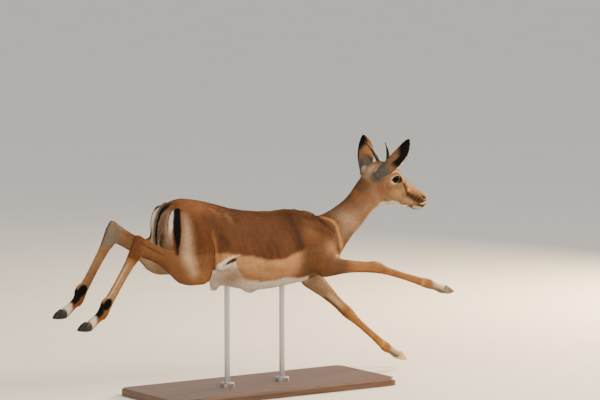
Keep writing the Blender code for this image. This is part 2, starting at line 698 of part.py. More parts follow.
# A claw's rings: share of the way from coronet to toe, reach of the front wall and of the sole, half width.
ClawRow = namedtuple("ClawRow", "t front sole width")
CLAW = [
    ClawRow(0.00, 0.0155, 0.0165, 0.50), ClawRow(0.20, 0.0155, 0.0170, 0.54), ClawRow(0.45, 0.0120, 0.0150, 0.53),
    ClawRow(0.70, 0.0070, 0.0105, 0.45), ClawRow(0.90, 0.0020, 0.0055, 0.27), ClawRow(1.00, -0.0005, 0.0025, 0.12),
]


def claws(coronet, toe, side, place, collection):
    """The outer and the inner claw of a foot."""
    axis = toe - coronet
    length = axis.length
    axis.normalize()
    across = Vector((0, 1, 0))
    across = (across - axis * across.dot(axis)).normalized()
    back_way = across.cross(axis)
    made = []
    for claw_name, outwards in (("outer", side), ("inner", -side)):
        rings = []
        for t, front, sole, width in CLAW:
            half = CLAW_WIDTH * width
            inner_edge = (CLAW_CLEFT + CLAW_SPREAD * t) / 2
            centre = coronet + axis * (HOOF_GAP + t * length) + across * (outwards * (inner_edge + half))
            ring = []
            for i in range(CLAW_RING):
                angle = 2 * math.pi * (i + 0.5) / CLAW_RING
                reach = math.sin(angle)
                depth = reach * (sole if reach > 0 else front)
                ring.append(centre + back_way * depth + across * (half * math.cos(angle)))
            rings.append(ring)
        made.append(skin_rings(rings, collection, f"{place}_hoof_{claw_name}_{SIDE_NAME[side]}"))
    return made


# ---------------------------------------------------------------- the stand
def stand(collection):
    """A flat base and two rods, each with a collar at its foot."""
    bm = bmesh.new()
    bmesh.ops.create_cube(bm, size=1.0)
    bm.transform(Matrix.Translation((0, 0, BASE_SIZE[2] / 2)) @ Matrix.Diagonal((*BASE_SIZE, 1)))
    upright = [e for e in bm.edges if abs((e.verts[0].co - e.verts[1].co).z) > 1e-6]
    bmesh.ops.bevel(bm, geom=upright, offset=BASE_CORNER, segments=4, affect="EDGES", profile=0.5)
    top = [e for e in bm.edges if all(abs(v.co.z - BASE_SIZE[2]) < 1e-6 for v in e.verts)]
    bmesh.ops.bevel(bm, geom=top, offset=BASE_BEVEL, segments=1, affect="EDGES", profile=0.5)
    mesh = bpy.data.meshes.new("base")
    bm.to_mesh(mesh)
    bm.free()
    add_object("stand_base", mesh, collection)
    for place, (x, belly) in ROD_PLACES.items():
        height = belly + ROD_SINK - BASE_SIZE[2]
        profile = [(0.0, COLLAR_RADIUS), (COLLAR_HEIGHT - ROD_CHAMFER, COLLAR_RADIUS),
                   (COLLAR_HEIGHT, COLLAR_RADIUS - ROD_CHAMFER), (COLLAR_HEIGHT, ROD_RADIUS),
                   (height - ROD_CHAMFER, ROD_RADIUS), (height, ROD_RADIUS - ROD_CHAMFER)]
        rings = [[Vector((x + r * math.cos(a), r * math.sin(a), BASE_SIZE[2] + GAP + z))
                  for a in (2 * math.pi * i / ROD_RING for i in range(ROD_RING))] for z, r in profile]
        skin_rings(rings, collection, "stand_rod_" + place)


def rod_sockets(trunk, helpers):
    """The holes in the belly that the rods go up into."""
    for x, belly in ROD_PLACES.values():
        top = belly + ROD_SINK + GAP
        middle_height = top - SOCKET_DEPTH / 2
        take(trunk, disc(Vector((x, 0, middle_height)), Vector((0, 0, 1)), ROD_RADIUS + GAP, SOCKET_DEPTH, helpers))


# ---------------------------------------------------------------- materials
FLESH_COLOURS = {"trunk": (0.42, 0.22, 0.10), "tail": (0.60, 0.50, 0.40)}
TAN, DARK_HORN, EYE_BLACK = (0.50, 0.28, 0.14), (0.03, 0.028, 0.026), (0.012, 0.009, 0.008)
STAND_GREY, STEEL = (0.16, 0.16, 0.17), (0.55, 0.55, 0.56)


def slot_material(name):
    if name.startswith("eye"):
        return material(name, EYE_BLACK, 0.08)
    if name.startswith("horn") or "hoof" in name:
        return material(name, DARK_HORN, 0.35)
    if name == "stand_base":
        return material(name, STAND_GREY, 0.5)
    if name.startswith("stand"):
        return material(name, STEEL, 0.35, 1.0)
    return material(name, FLESH_COLOURS.get(name, TAN), 0.8)


# ---------------------------------------------------------------- assembly
def cut_flesh(parts, helpers):
    """The fused flesh as its named pieces, by name."""
    flesh = fused(flesh_lofts(helpers), helpers)
    cutters = [disc(centre, facing, radius, CUT, helpers)
               for centre, facing, radius in body_cuts() + limb_cuts(LEFT) + limb_cuts(RIGHT)]
    for side in (LEFT, RIGHT):
        for leg in (HIND[side], FORE[side]):
            coronet, toe = leg_points(leg, side)[-2:]
            axis = (toe - coronet).normalized()
            cutters.append(disc(coronet + axis * (CORONET_DEPTH / 2), axis, CORONET_RADIUS, CORONET_DEPTH, helpers))
    take(flesh, together(cutters, helpers))
    seeds, pieces = flesh_seeds(), {}
    for piece in loose_parts(flesh, parts):
        name = min(seeds, key=lambda n: (seeds[n] - middle(piece)).length)
        kind = name.replace("_left", "").replace("_right", "")
        piece.name = name
        thinned(piece, TRIANGLES[kind])
        pieces[name] = piece
        seeds.pop(name)
    bpy.data.objects.remove(flesh)
    return pieces


def build():
    clear_scene()
    parts = new_collection("impala")
    helpers = new_collection("cutters", hidden=True)
    flesh = cut_flesh(parts, helpers)
    tail = slice_loft(TAIL, parts, "tail", steps=TAIL_STEPS, points=TAIL_RING)
    take(flesh["trunk"], grown(tail, TAIL_GAP, helpers))
    for side in (LEFT, RIGHT):
        for piece, gap in ((ear(side, parts), EAR_GAP), (eye(side, parts), GAP), (horn(side, parts), GAP)):
            take(flesh["head"], grown(piece, gap, helpers))
        for leg, place in ((HIND, "hind"), (FORE, "fore")):
            coronet, toe = leg_points(leg[side], side)[-2:]
            claws(coronet, toe, side, place, parts)
    for obj in parts.objects:
        obj.data.transform(Matrix.Translation((0, 0, -SET_DOWN)))
    rod_sockets(flesh["trunk"], helpers)
    stand(parts)
    for obj in parts.objects:
        obj.data.name = obj.name
        obj.data.materials.clear()
        obj.data.materials.append(slot_material(obj.name))


build()
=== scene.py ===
import math
from collections import namedtuple

import bmesh
import bpy
import numpy as np
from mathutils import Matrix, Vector
from mathutils.bvhtree import BVHTree


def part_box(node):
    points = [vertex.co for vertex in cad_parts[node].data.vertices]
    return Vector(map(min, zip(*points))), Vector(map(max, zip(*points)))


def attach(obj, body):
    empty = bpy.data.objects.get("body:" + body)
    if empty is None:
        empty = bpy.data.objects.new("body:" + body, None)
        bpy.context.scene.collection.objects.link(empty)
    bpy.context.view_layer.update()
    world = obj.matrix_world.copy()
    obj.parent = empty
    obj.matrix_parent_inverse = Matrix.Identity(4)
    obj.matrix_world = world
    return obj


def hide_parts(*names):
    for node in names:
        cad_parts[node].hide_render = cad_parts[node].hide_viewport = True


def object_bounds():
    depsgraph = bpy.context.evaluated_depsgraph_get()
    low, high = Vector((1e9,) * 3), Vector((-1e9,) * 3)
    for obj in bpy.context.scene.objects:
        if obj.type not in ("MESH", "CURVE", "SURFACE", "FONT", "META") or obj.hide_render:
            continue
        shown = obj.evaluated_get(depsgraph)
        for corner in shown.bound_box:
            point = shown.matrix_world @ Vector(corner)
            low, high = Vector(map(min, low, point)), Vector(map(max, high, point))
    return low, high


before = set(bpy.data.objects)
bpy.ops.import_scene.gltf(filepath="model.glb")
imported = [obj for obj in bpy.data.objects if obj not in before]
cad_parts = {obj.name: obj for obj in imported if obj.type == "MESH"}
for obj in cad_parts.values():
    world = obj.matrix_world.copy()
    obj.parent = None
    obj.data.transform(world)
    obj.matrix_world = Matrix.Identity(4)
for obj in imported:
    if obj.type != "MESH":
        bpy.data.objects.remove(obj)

CAD_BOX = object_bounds()
BOX = {name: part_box(name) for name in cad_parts}
SCENE = bpy.context.scene
MM = 0.001
LEFT, RIGHT = 1.0, -1.0
SIDES = {"left": LEFT, "right": RIGHT}
SIDE_NAME = {LEFT: "left", RIGHT: "right"}
SEED = 11
INSIDE = 0.2 * MM            # how far skin and hair stay within the animal's own box

# ---------------------------------------------------------------- what the flesh is made of
LIMBS = ("hind_shank", "hind_cannon", "hind_pastern", "forearm", "fore_cannon", "fore_pastern")
BODY_NODES = ["trunk", "neck", "tail"] + [f"{limb}_{side}" for limb in LIMBS for side in SIDES]
HEAD_NODES = ["neck", "head", "ear_left", "ear_right"]
FLESH_NODES = BODY_NODES + HEAD_NODES[1:]
GROUPS = ("trunk", "neck", "head", "ear", "tail", "hind", "fore")

BODY_GRAIN = 4.9 * MM       # the skin's mesh on the body and limbs
HEAD_GRAIN = 2.2 * MM       # and on the head and ears
FINE_ROUND_EYE = 27 * MM    # the mesh is twice as fine this far round an eye
FINE_ROUND_NOSE = 34 * MM   # and this far round the nose
SWELL = 0.6 * MM            # closes the cuts between the flesh solids before they are fused
LID = 1.2 * MM              # how thick the eyelids lie over the eyeball
# rounds of rubbing out the facets of the solids; a round reaches from one point of the mesh to the next
EASING = {"trunk": 18, "neck": 22, "head": 7, "ear": 3, "tail": 8, "hind": 5, "fore": 5}
BLEND_ROUNDS = 8            # how far the parts' markings run into one another
FILLET_ROUNDS = 10          # how far a fillet reaches
COMB_ROUNDS = 36            # how far the lie of the hair swings round
FILLET = 30                 # more rounds where an ear or limb leaves the body
# millimetres of coat over the skin
COAT_DEPTH = {"trunk": 1.8, "neck": 1.5, "head": 0.9, "ear": 0.5, "tail": 3.0, "hind": 1.0, "fore": 1.0}


def spot(node, x, y, z):
    """A place in a solid's box, as shares of its length, width and height."""
    low, high = BOX[node]
    return np.array([low[i] + (high[i] - low[i]) * share for i, share in enumerate((x, y, z))])


def beside(node, x, out, z):
    """A place in a solid that is the same on both sides; out is its share of the half width, on the left."""
    return spot(node, x, 0.5 + out / 2, z)


def line(node, *places):
    return [beside(node, *place) for place in places]


def ease(value, start, end):
    """0 up to start and 1 from end, with a soft turn between them."""
    t = np.clip((value - start) / (end - start), 0, 1)
    return t * t * (3 - 2 * t)


def unit(vectors):
    return vectors / np.maximum(np.linalg.norm(vectors, axis=-1, keepdims=True), 1e-12)


def near_line(points, bent):
    """How far each point is from a bent line, and its nearest place's share along the line, from 0 to 1."""
    gap, share, done = np.full(len(points), np.inf), np.zeros(len(points)), 0.0
    total = sum(np.linalg.norm(b - a) for a, b in zip(bent, bent[1:]))
    for a, b in zip(bent, bent[1:]):
        span = b - a
        t = np.clip((points - a) @ span / (span @ span), 0, 1)
        away = np.linalg.norm(points - a - t[:, None] * span, axis=1)
        closer = away < gap
        gap = np.where(closer, away, gap)
        share = np.where(closer, (done + t * np.linalg.norm(span)) / total, share)
        done += np.linalg.norm(span)
    return gap, share


def blob(points, centre, size):
    """1 at a centre, falling softly over about so many millimetres, which may differ along each axis."""
    away = (points - centre) / (np.asarray(size) * MM)
    return np.exp(-(away ** 2).sum(1))


def wobble(points, size, seed):
    """A smooth random swell from about -1 to 1, with hollows and rises of about so many millimetres."""
    rng = np.random.default_rng(seed)
    total = np.zeros(len(points))
    for _ in range(7):
        way = unit(rng.normal(size=3)) * 2 * math.pi / (size * MM * rng.uniform(0.7, 1.6))
        total += np.sin(points @ way + rng.uniform(0, 2 * math.pi))
    return total / 3.0


def kept_inside(points):
    """The points, none of them outside the animal's own box."""
    return np.clip(points, np.array(CAD_BOX[0]) + INSIDE, np.array(CAD_BOX[1]) - INSIDE)


def mirrored(points):
    """The points as if they all lay on the left side."""
    return points * [1, 0, 0] + np.abs(points) * [0, 1, 0] + points * [0, 0, 1]


# ---------------------------------------------------------------- mesh helpers
def deselect():
    bpy.ops.object.select_all(action="DESELECT")


def only(*objs):
    deselect()
    for obj in objs:
        obj.select_set(True)
    bpy.context.view_layer.objects.active = objs[0]


def edit(obj, *steps):
    """Runs edit mode operators, each with its settings, over an object's whole mesh."""
    only(obj)
    bpy.ops.object.mode_set(mode="EDIT")
    bpy.ops.mesh.select_all(action="SELECT")
    for operator, settings in steps:
        operator(**settings)
    bpy.ops.object.mode_set(mode="OBJECT")


def apply_modifier(obj, kind, **settings):
    only(obj)
    modifier = obj.modifiers.new(kind.lower(), kind)
    for name, value in settings.items():
        setattr(modifier, name, value)
    bpy.ops.object.modifier_apply(modifier=modifier.name)


def add_object(name, mesh):
    obj = bpy.data.objects.new(name, mesh)
    SCENE.collection.objects.link(obj)
    return obj


def node_copy(node, name, swell=0.0):
    """A closed copy of a solid's mesh, its surface moved outwards."""
    copy = add_object(name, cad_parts[node].data.copy())
    edit(copy, (bpy.ops.mesh.remove_doubles, {"threshold": 0.01 * MM}))
    if swell:
        apply_modifier(copy, "DISPLACE", strength=swell, mid_level=0.0)
    return copy


def numbers(items, key, count, width, kind=np.float32):
    values = np.empty(count * width, kind)
    items.foreach_get(key, values)
    return values.reshape(count, width)


def places_of(mesh, key="co"):
    """The places of a mesh's points, or their normals."""
    return numbers(mesh.vertices, key, len(mesh.vertices), 3).astype(float)


def move_to(mesh, points):
    mesh.vertices.foreach_set("co", points.astype(np.float32).ravel())


def shade_smooth(mesh):
    mesh.polygons.foreach_set("use_smooth", np.ones(len(mesh.polygons), bool))


def new_mesh(name, points, faces):
    """A mesh from rows of points and rows of corners, all faces with as many corners."""
    mesh = bpy.data.meshes.new(name)
    mesh.vertices.add(len(points))
    mesh.vertices.foreach_set("co", np.asarray(points, np.float32).ravel())
    mesh.loops.add(faces.size)
    mesh.loops.foreach_set("vertex_index", faces.astype(np.int32).ravel())
    mesh.polygons.add(len(faces))
    mesh.polygons.foreach_set("loop_start", np.arange(0, faces.size, faces.shape[1], dtype=np.int32))
    mesh.update(calc_edges=True)
    return mesh


def add_colour(mesh, name, colours):
    """A colour, or three or four other measures, for each point of the mesh."""
    layer = mesh.attributes.new(name, "FLOAT_COLOR", "POINT")
    rows = np.ones((len(colours), 4), np.float32)
    rows[:, :colours.shape[1]] = colours
    layer.data.foreach_set("color", rows.ravel())


def point_normals(points, faces):
    """Each point's outward direction, from the faces round it."""
    a, b, c = (points[faces[:, k]] for k in range(3))
    face_way = np.cross(b - a, c - a)
    total = np.zeros_like(points)
    for k in range(3):
        for axis in range(3):
            total[:, axis] += np.bincount(faces[:, k], face_way[:, axis], len(points))
    return unit(total)


Links = namedtuple("Links", "one two count")


def links_of(faces, total):
    edges = np.vstack([faces[:, [0, 1]], faces[:, [1, 2]], faces[:, [2, 0]]])
    edges = np.unique(np.sort(edges, axis=1), axis=0)
    count = np.bincount(edges.ravel(), minlength=total)
    return Links(edges[:, 0], edges[:, 1], np.maximum(count, 1)[:, None])


def neighbours_mean(values, links):
    total = np.empty_like(values)
    for column in range(values.shape[1]):
        v = values[:, column]
        total[:, column] = np.bincount(links.one, v[links.two], len(v))
        total[:, column] += np.bincount(links.two, v[links.one], len(v))
    return total / links.count


def eased(points, links, rounds):
    """The points with facets and steps rubbed out over so many rounds, and the form kept."""
    points = points.copy()
    for step in range(int(rounds.max())):
        for push in (0.55, -0.57):
            points += (neighbours_mean(points, links) - points) * (push * (rounds > step))[:, None]
    return points


def spread(values, links, rounds):
    for _ in range(rounds):
        values = (values + neighbours_mean(values, links)) / 2
    return values


Axis = namedtuple("Axis", "middle way low high")


def axis_of(node, hint):
    """The middle and the long way of a solid, pointing as the hint does, and its reach along that way."""
    places = places_of(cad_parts[node].data)
    middle = (places.min(0) + places.max(0)) / 2
    way = np.linalg.svd(places - places.mean(0), full_matrices=False)[2][0]
    way = way * np.sign(way @ np.array(hint))
    along = (places - middle) @ way
    return Axis(middle, way, along.min(), along.max())


def share_along(points, axis):
    """How far along a solid each point lies, from 0 to 1."""
    return ((points - axis.middle) @ axis.way - axis.low) / (axis.high - axis.low)


def ahead_of(axis):
    """The way square to a leg that faces ahead."""
    return unit(np.cross(axis.way, [0, 1, 0]))


UPWARD = (0, 0, 1)
HINTS = {"hind_shank": (-1, 0, 0.3), "hind_cannon": (-0.5, 0, -1), "hind_pastern": (-1, 0, -0.5),
         "forearm": (1, 0, -0.2), "fore_cannon": (1, 0, -0.5), "fore_pastern": (1, 0, -0.4),
         "tail": (-0.3, 0, -1), "ear": (0.2, 0, 1)}
AXES = {name: axis_of(name, HINTS[kind]) for name in FLESH_NODES for kind in HINTS if name.startswith(kind)}


# ---------------------------------------------------------------- one skin over all the flesh
NECK_SPLIT = spot("neck", 0.62, 0.5, 0.62)      # where the fine mesh of the head meets that of the body
NECK_WAY = unit(spot("neck", 1, 0.5, 1) - spot("neck", 0, 0.5, 0))


def root_plug(node):
    """A horn's root cut off level with the skull. It fills the socket, so the skin closes round the horn."""
    plug = node_copy(node, "root_plug", SWELL)
    axis = axis_of(node, UPWARD)
    skull = places_of(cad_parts["head"].data)
    offset = skull - (axis.middle + axis.way * axis.low)
    along = offset @ axis.way
    aside = np.linalg.norm(offset - np.outer(along, axis.way), axis=1)
    rim = skull[(along > 2 * MM) & (along < 20 * MM) & (aside < 12 * MM)]
    level = np.linalg.svd(rim - rim.mean(0), full_matrices=False)[2][2]
    bm = bmesh.new()
    bm.from_mesh(plug.data)
    bmesh.ops.bisect_plane(bm, geom=[*bm.verts, *bm.edges, *bm.faces], plane_co=rim.mean(0),
                           plane_no=level * np.sign(level @ axis.way), clear_outer=True)
    bmesh.ops.holes_fill(bm, edges=[e for e in bm.edges if e.is_boundary])
    bm.to_mesh(plug.data)
    bm.free()
    return plug


def flesh_mass(name, nodes, grain, plugs=()):
    """One closed mesh over copies of the flesh solids and whatever fills the sockets in them."""
    copies = [node_copy(node, name, SWELL) for node in nodes] + list(plugs)
    only(*copies)
    bpy.ops.object.join()
    mass = bpy.context.view_layer.objects.active
    apply_modifier(mass, "REMESH", mode="VOXEL", voxel_size=grain)
    return mass


def cut_open(mass, point, keep):
    """Takes off what lies past the split in the neck; keep is 1 on the head's side and -1 on the body's."""
    bm = bmesh.new()
    bm.from_mesh(mass.data)
    floor = BOX["neck"][0].z
    faces = [f for f in bm.faces if f.calc_center_median().z > floor]
    around = {v for f in faces for v in f.verts} | {e for f in faces for e in f.edges}
    bmesh.ops.bisect_plane(bm, geom=faces + list(around), plane_co=point, plane_no=NECK_WAY * -keep,
                           clear_outer=True)
    bm.to_mesh(mass.data)
    bm.free()


def finer(bm, centre, reach):
    """Splits the faces round a place, where small folds need a finer mesh."""
    edges = [e for e in bm.edges if all((v.co - centre).length < reach for v in e.verts)]
    bmesh.ops.subdivide_edges(bm, edges=edges, cuts=1, use_grid_fill=True)


def joined_skin():
    """The body's and the head's masses, bridged across the neck into one closed triangle mesh."""
    body = flesh_mass("body_mass", BODY_NODES, BODY_GRAIN)
    plugs = [node_copy("eye_" + side, "lids", LID) for side in SIDES]
    plugs += [root_plug("horn_" + side) for side in SIDES]
    head = flesh_mass("head_mass", HEAD_NODES, HEAD_GRAIN, plugs)
    half_gap = NECK_WAY * 2 * MM
    cut_open(body, NECK_SPLIT - half_gap, -1)
    cut_open(head, NECK_SPLIT + half_gap, 1)
    only(head, body)
    bpy.ops.object.join()
    bm = bmesh.new()
    bm.from_mesh(head.data)
    bmesh.ops.bridge_loops(bm, edges=[e for e in bm.edges if e.is_boundary])
    for side in SIDES:
        finer(bm, Vector(spot("eye_" + side, 0.5, 0.5, 0.5)), FINE_ROUND_EYE)
    finer(bm, Vector(beside("head", 0.93, 0, 0.17)), FINE_ROUND_NOSE)
    bmesh.ops.triangulate(bm, faces=bm.faces)
    bmesh.ops.recalc_face_normals(bm, faces=bm.faces)
    mesh = bpy.data.meshes.new("skin")
    bm.to_mesh(mesh)
    bm.free()
    bpy.data.objects.remove(head)
    return places_of(mesh), numbers(mesh.polygons, "vertices", len(mesh.polygons), 3, np.int32)


def nearest_nodes(points):
    """The number in FLESH_NODES of the solid that each point lies nearest to."""
    places, corners, owner = [], [], []
    for number, name in enumerate(FLESH_NODES):
        mesh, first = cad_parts[name].data, len(places)
        places += [v.co.copy() for v in mesh.vertices]
        corners += [[first + i for i in p.vertices] for p in mesh.polygons]
        owner += [number] * len(mesh.polygons)
    tree = BVHTree.FromPolygons(places, corners)
    return np.array([owner[tree.find_nearest(p)[2]] for p in points.tolist()])


def group_of(node):
    return next(group for group in GROUPS if node.startswith(group))


# ---------------------------------------------------------------- the head's folds
EYE_RADIUS = float(BOX["eye_left"][1].z - BOX["eye_left"][0].z) / 2
OPENING = (17.0 * MM, 14.5 * MM, 8.0 * MM, 10.2 * MM)   # the lids' opening forwards, backwards, up and down
OPENING_SHIFT = (1.2 * MM, 0.4 * MM)                    # its middle, forwards and up of the eyeball's


def eye_places(points, side):
    """Where points lie round an eye: their offset from its centre, how far forwards, up and out, and how far
    they are outside the opening between the lids."""
    centre = spot("eye_" + SIDE_NAME[side], 0.5, 0.5, 0.5)
    offset = points - centre
    forward = offset[:, 0] - OPENING_SHIFT[0]
    up = offset[:, 2] - OPENING_SHIFT[1] - 0.16 * forward * (forward < 0) + 0.3 * forward * (forward > 0)
    out = offset[:, 1] * side + 0.15 * offset[:, 0]
    half_along = np.where(forward > 0, OPENING[0], OPENING[1])
    half_up = np.where(up > 0, OPENING[2], OPENING[3])
    beyond = (np.sqrt((np.abs(forward) / half_along) ** 2.0 + (np.abs(up) / half_up) ** 2) - 1) * 11 * MM
    return offset, forward, up, out, beyond


def eyelids(points):
    """Opens the lids over each eyeball, rolls their edges and lays a fold over and under them."""
    for side in SIDE_NAME:
        offset, forward, up, out, beyond = eye_places(points, side)
        radius = np.linalg.norm(offset, axis=1)
        facing = (out > 1 * MM) & (radius < EYE_RADIUS + 9 * MM)
        inside = (1 - ease(beyond, -0.9 * MM, 0.1 * MM)) * facing
        aside = np.hypot(offset[:, 0], offset[:, 2])
        behind_ball = np.minimum(radius, EYE_RADIUS - 3.5 * MM)
        sunk_to = behind_ball + (radius - 1.2 * MM - behind_ball) * ease(aside, 12.5 * MM, 15.5 * MM)
        sunk = offset * (sunk_to / radius)[:, None]
        rim = np.exp(-((beyond - 0.9 * MM) / (0.9 * MM)) ** 2) * 0.5 * MM
        fold = np.exp(-((beyond - 4.6 * MM) / (0.9 * MM)) ** 2) * np.where(up > 0, 0.9, 0.5) * MM
        pouch = np.exp(-((beyond - 7.0 * MM) / (1.6 * MM)) ** 2) * 0.5 * MM * (up < 0)
        near = (out > 0) & (radius < 34 * MM)
        moved = unit(offset) * ((rim - fold + pouch) * near * (1 - inside))[:, None]
        points += moved
        points += (sunk - offset) * inside[:, None]
    return points


NOSTRIL = line("head", (0.902, 0.46, 0.262), (0.926, 0.45, 0.236), (0.952, 0.37, 0.205),
               (0.975, 0.2, 0.19))
NOSE_WING = line("head", (0.88, 0.42, 0.305), (0.925, 0.4, 0.292), (0.968, 0.25, 0.27))
NOSE_STEP = line("head", (0.96, 0.34, 0.19), (1.0, 0.0, 0.185))
MOUTH = line("head", (0.775, 0.4, 0.118), (0.828, 0.36, 0.09), (0.877, 0.35, 0.077), (0.92, 0.35, 0.069),
             (0.95, 0.29, 0.066), (0.975, 0.0, 0.072))
LIP = line("head", (0.78, 0.44, 0.145), (0.85, 0.42, 0.105), (0.92, 0.38, 0.095), (0.985, 0.0, 0.12))
CHIN_EDGE = line("head", (0.8, 0.24, 0.045), (0.87, 0.24, 0.022), (0.93, 0.14, 0.03))
TEAR_GROOVE = line("head", (0.545, 0.87, 0.56), (0.576, 0.844, 0.488), (0.61, 0.76, 0.43))
BROW_RIDGE = line("head", (0.36, 0.88, 0.8), (0.433, 0.888, 0.817), (0.495, 0.846, 0.752),
                  (0.545, 0.8, 0.67))
CHEEK_EDGE = line("head", (0.56, 0.7, 0.56), (0.5, 0.9, 0.47), (0.38, 0.95, 0.43))
JAW_GROOVE = line("head", (0.25, 0.9, 0.56), (0.29, 0.86, 0.33), (0.38, 0.78, 0.24), (0.52, 0.62, 0.17))
NOSE_SPLIT = [beside("head", 1.0, 0, 0.25), beside("head", 1.0, 0, 0.13)]


def groove(points, bent, depth, width):
    """How far each point rises from a groove along a bent line, so many millimetres deep and wide, or over a
    ridge where the depth is less than nothing."""
    gap = near_line(points, bent)[0]
    return -depth * MM * np.exp(-(gap / (width * MM)) ** 2)


def folded(points, *folds):
    """The rise of all those grooves and ridges together."""
    m = mirrored(points)
    return sum(groove(m, *fold) for fold in folds)


# each groove's line, depth and width, or ridge's where the depth is less than nothing
HEAD_FOLDS = (
    (MOUTH, 3.2, 1.9), (LIP, -1, 2.4), (CHIN_EDGE, -1.5, 4), (NOSTRIL, 6, 2.9), (NOSE_STEP, 2, 2.6),
    (NOSE_WING, -1.1, 2.6), (BROW_RIDGE, -1.2, 4.5), (TEAR_GROOVE, 0.8, 3), (CHEEK_EDGE, 0.9, 5),
    (JAW_GROOVE, 1.2, 5), (NOSE_SPLIT, 0.9, 1.1),
)


# ---------------------------------------------------------------- muscle, tendon and skin folds of the body
SHOULDER_EDGE = line("trunk", (0.64, 0.31, 0.807), (0.647, 0.62, 0.692), (0.655, 0.82, 0.54),
                     (0.66, 0.84, 0.42))
ARM_EDGE = line("trunk", (0.845, 0.62, 0.6), (0.8, 0.76, 0.5), (0.77, 0.78, 0.38))
THIGH_EDGE = line("trunk", (0.225, 0.8, 0.86), (0.215, 0.88, 0.72), (0.247, 0.79, 0.509),
                  (0.265, 0.5, 0.37))
HAM_EDGE = line("trunk", (0.11, 0.72, 0.84), (0.112, 0.88, 0.66), (0.125, 0.95, 0.5))
SHOULDER_RIDGE = line("trunk", (0.732, 0.3, 0.812), (0.763, 0.3, 0.8), (0.8, 0.22, 0.782),
                      (0.835, 0.16, 0.76), (0.865, 0.24, 0.73), (0.881, 0.3, 0.708), (0.888, 0.35, 0.678),
                      (0.888, 0.42, 0.64), (0.883, 0.5, 0.598), (0.877, 0.58, 0.548),
                      (0.879, 0.59, 0.495))
RIDGE_WIDTHS = [1, 2, 2.5, 3, 3.5, 4, 4.5, 5, 5, 4, 2]
FLANK_FOLD = line("trunk", (0.35, 0.75, 0.5), (0.312, 0.79, 0.492), (0.28, 0.79, 0.468),
                  (0.248, 0.76, 0.425), (0.22, 0.84, 0.37), (0.192, 0.9, 0.31))
FOLD_POCKET = line("trunk", (0.334, 0.74, 0.462), (0.305, 0.74, 0.45), (0.275, 0.68, 0.415))
BODY_FOLDS = (
    (SHOULDER_EDGE, 3, 13), (ARM_EDGE, 2.5, 10), (THIGH_EDGE, 3, 12), (HAM_EDGE, 2, 14),
    (FLANK_FOLD, -2, 5), (FOLD_POCKET, 5, 6), (SHOULDER_RIDGE, -2.5, 8),
)
RIB_SPACING, RIB_HEIGHT, RIB_SLANT = 27 * MM, 0.45 * MM, 0.35


def ribs(points):
    """The faint rise of the ribs through the skin of the chest."""
    m = mirrored(points)
    rows = np.sin((m[:, 0] + RIB_SLANT * m[:, 2]) * 2 * math.pi / RIB_SPACING)
    return RIB_HEIGHT * rows * blob(m, beside("trunk", 0.53, 0.85, 0.5), (90, 60, 60))


# how far each hollow lies ahead of the leg's middle, its depth and width in millimetres, and its ends
LEG_GROOVE = {"hind_shank": (-9.0, 2.2, 4.5, 0.25, 1.05), "hind_cannon": (-3.0, 1.2, 3.0, 0.05, 0.95),
              "forearm": (-4.0, 1.2, 4.5, 0.15, 0.95), "fore_cannon": (-2.0, 1.0, 2.8, 0.1, 0.95)}


def leg_place(points, normals, axis):
    """Where points lie on a leg's solid: their share along it, how far ahead of its middle, and how far the
    surface there faces sideways."""
    return share_along(points, axis), (points - axis.middle) @ ahead_of(axis), np.abs(normals[:, 1])


def leg_grooves(points, normals, owner):
    """The long hollows between bone and tendon on both sides of each leg."""
    rise = np.zeros(len(points))
    for number, name in enumerate(FLESH_NODES):
        kind = name.rpartition("_")[0]
        if kind not in LEG_GROOVE:
            continue
        mine = owner == number
        share, ahead, side_on = leg_place(points[mine], normals[mine], AXES[name])
        at, depth, width, start, end = LEG_GROOVE[kind]
        hollow = np.exp(-((ahead - at * MM) / (width * MM)) ** 2) * side_on
        hollow *= ease(share, start, start + 0.2) * (1 - ease(share, end - 0.2, end))
        rise[mine] = -depth * MM * hollow
    return rise


Skin = namedtuple("Skin", "points faces normals links owner weights")
# where the coat thins: the place, how far round it in millimetres and by what share
THIN_COAT = ((beside("head", 0.96, 0.2, 0.18), 30, 0.85), (spot("eye_left", 0.6, 0.5, 0.5), 20, 0.9))


def shaped_skin():
    points, faces = joined_skin()
    links = links_of(faces, len(points))
    owner = nearest_nodes(points)
    groups = np.array([GROUPS.index(group_of(name)) for name in FLESH_NODES])[owner]
    weights = np.eye(len(GROUPS))[groups]
    rounds = np.array([EASING[g] for g in GROUPS], float)[groups][:, None]
    rounds = spread(rounds, links, BLEND_ROUNDS)[:, 0]
    for group in ("ear", "neck", "trunk"):
        near = spread(weights[:, GROUPS.index(group), None].copy(), links, FILLET_ROUNDS)[:, 0]
        rounds += FILLET * np.sqrt(np.maximum(4 * near * (1 - near), 0)) * (near > 0.01)
    points = eased(points, links, rounds)
    weights = spread(weights, links, BLEND_ROUNDS)
    depth = weights @ np.array([COAT_DEPTH[g] for g in GROUPS]) * MM
    m = mirrored(points)
    for place, reach, thin in THIN_COAT:
        depth = depth * (1 - thin * blob(m, place, reach))
    for name, axis in AXES.items():
        if "pastern" in name:
            close = np.linalg.norm(points - axis.middle, axis=1) < axis.high - axis.low
            depth = depth * (1 - 0.8 * ease(share_along(points, axis), 0.6, 0.95) * close)
    normals = point_normals(points, faces)
    head, trunk = weights[:, GROUPS.index("head")], weights[:, GROUPS.index("trunk")]
    rise = folded(points, *HEAD_FOLDS) * ease(head, 0.1, 0.5)
    rise += (folded(points, *BODY_FOLDS) + ribs(points)) * trunk
    rise += leg_grooves(points, normals, owner)
    points = kept_inside(eyelids(points + normals * (rise - depth)[:, None]))
    return Skin(points, faces, point_normals(points, faces), links, owner, weights)


# ---------------------------------------------------------------- the lie of the coat
def share_of(node, points, axis):
    """How far along a solid's box points lie, from 0 to 1."""
    low, high = BOX[node]
    return (points[:, axis] - low[axis]) / (high[axis] - low[axis])


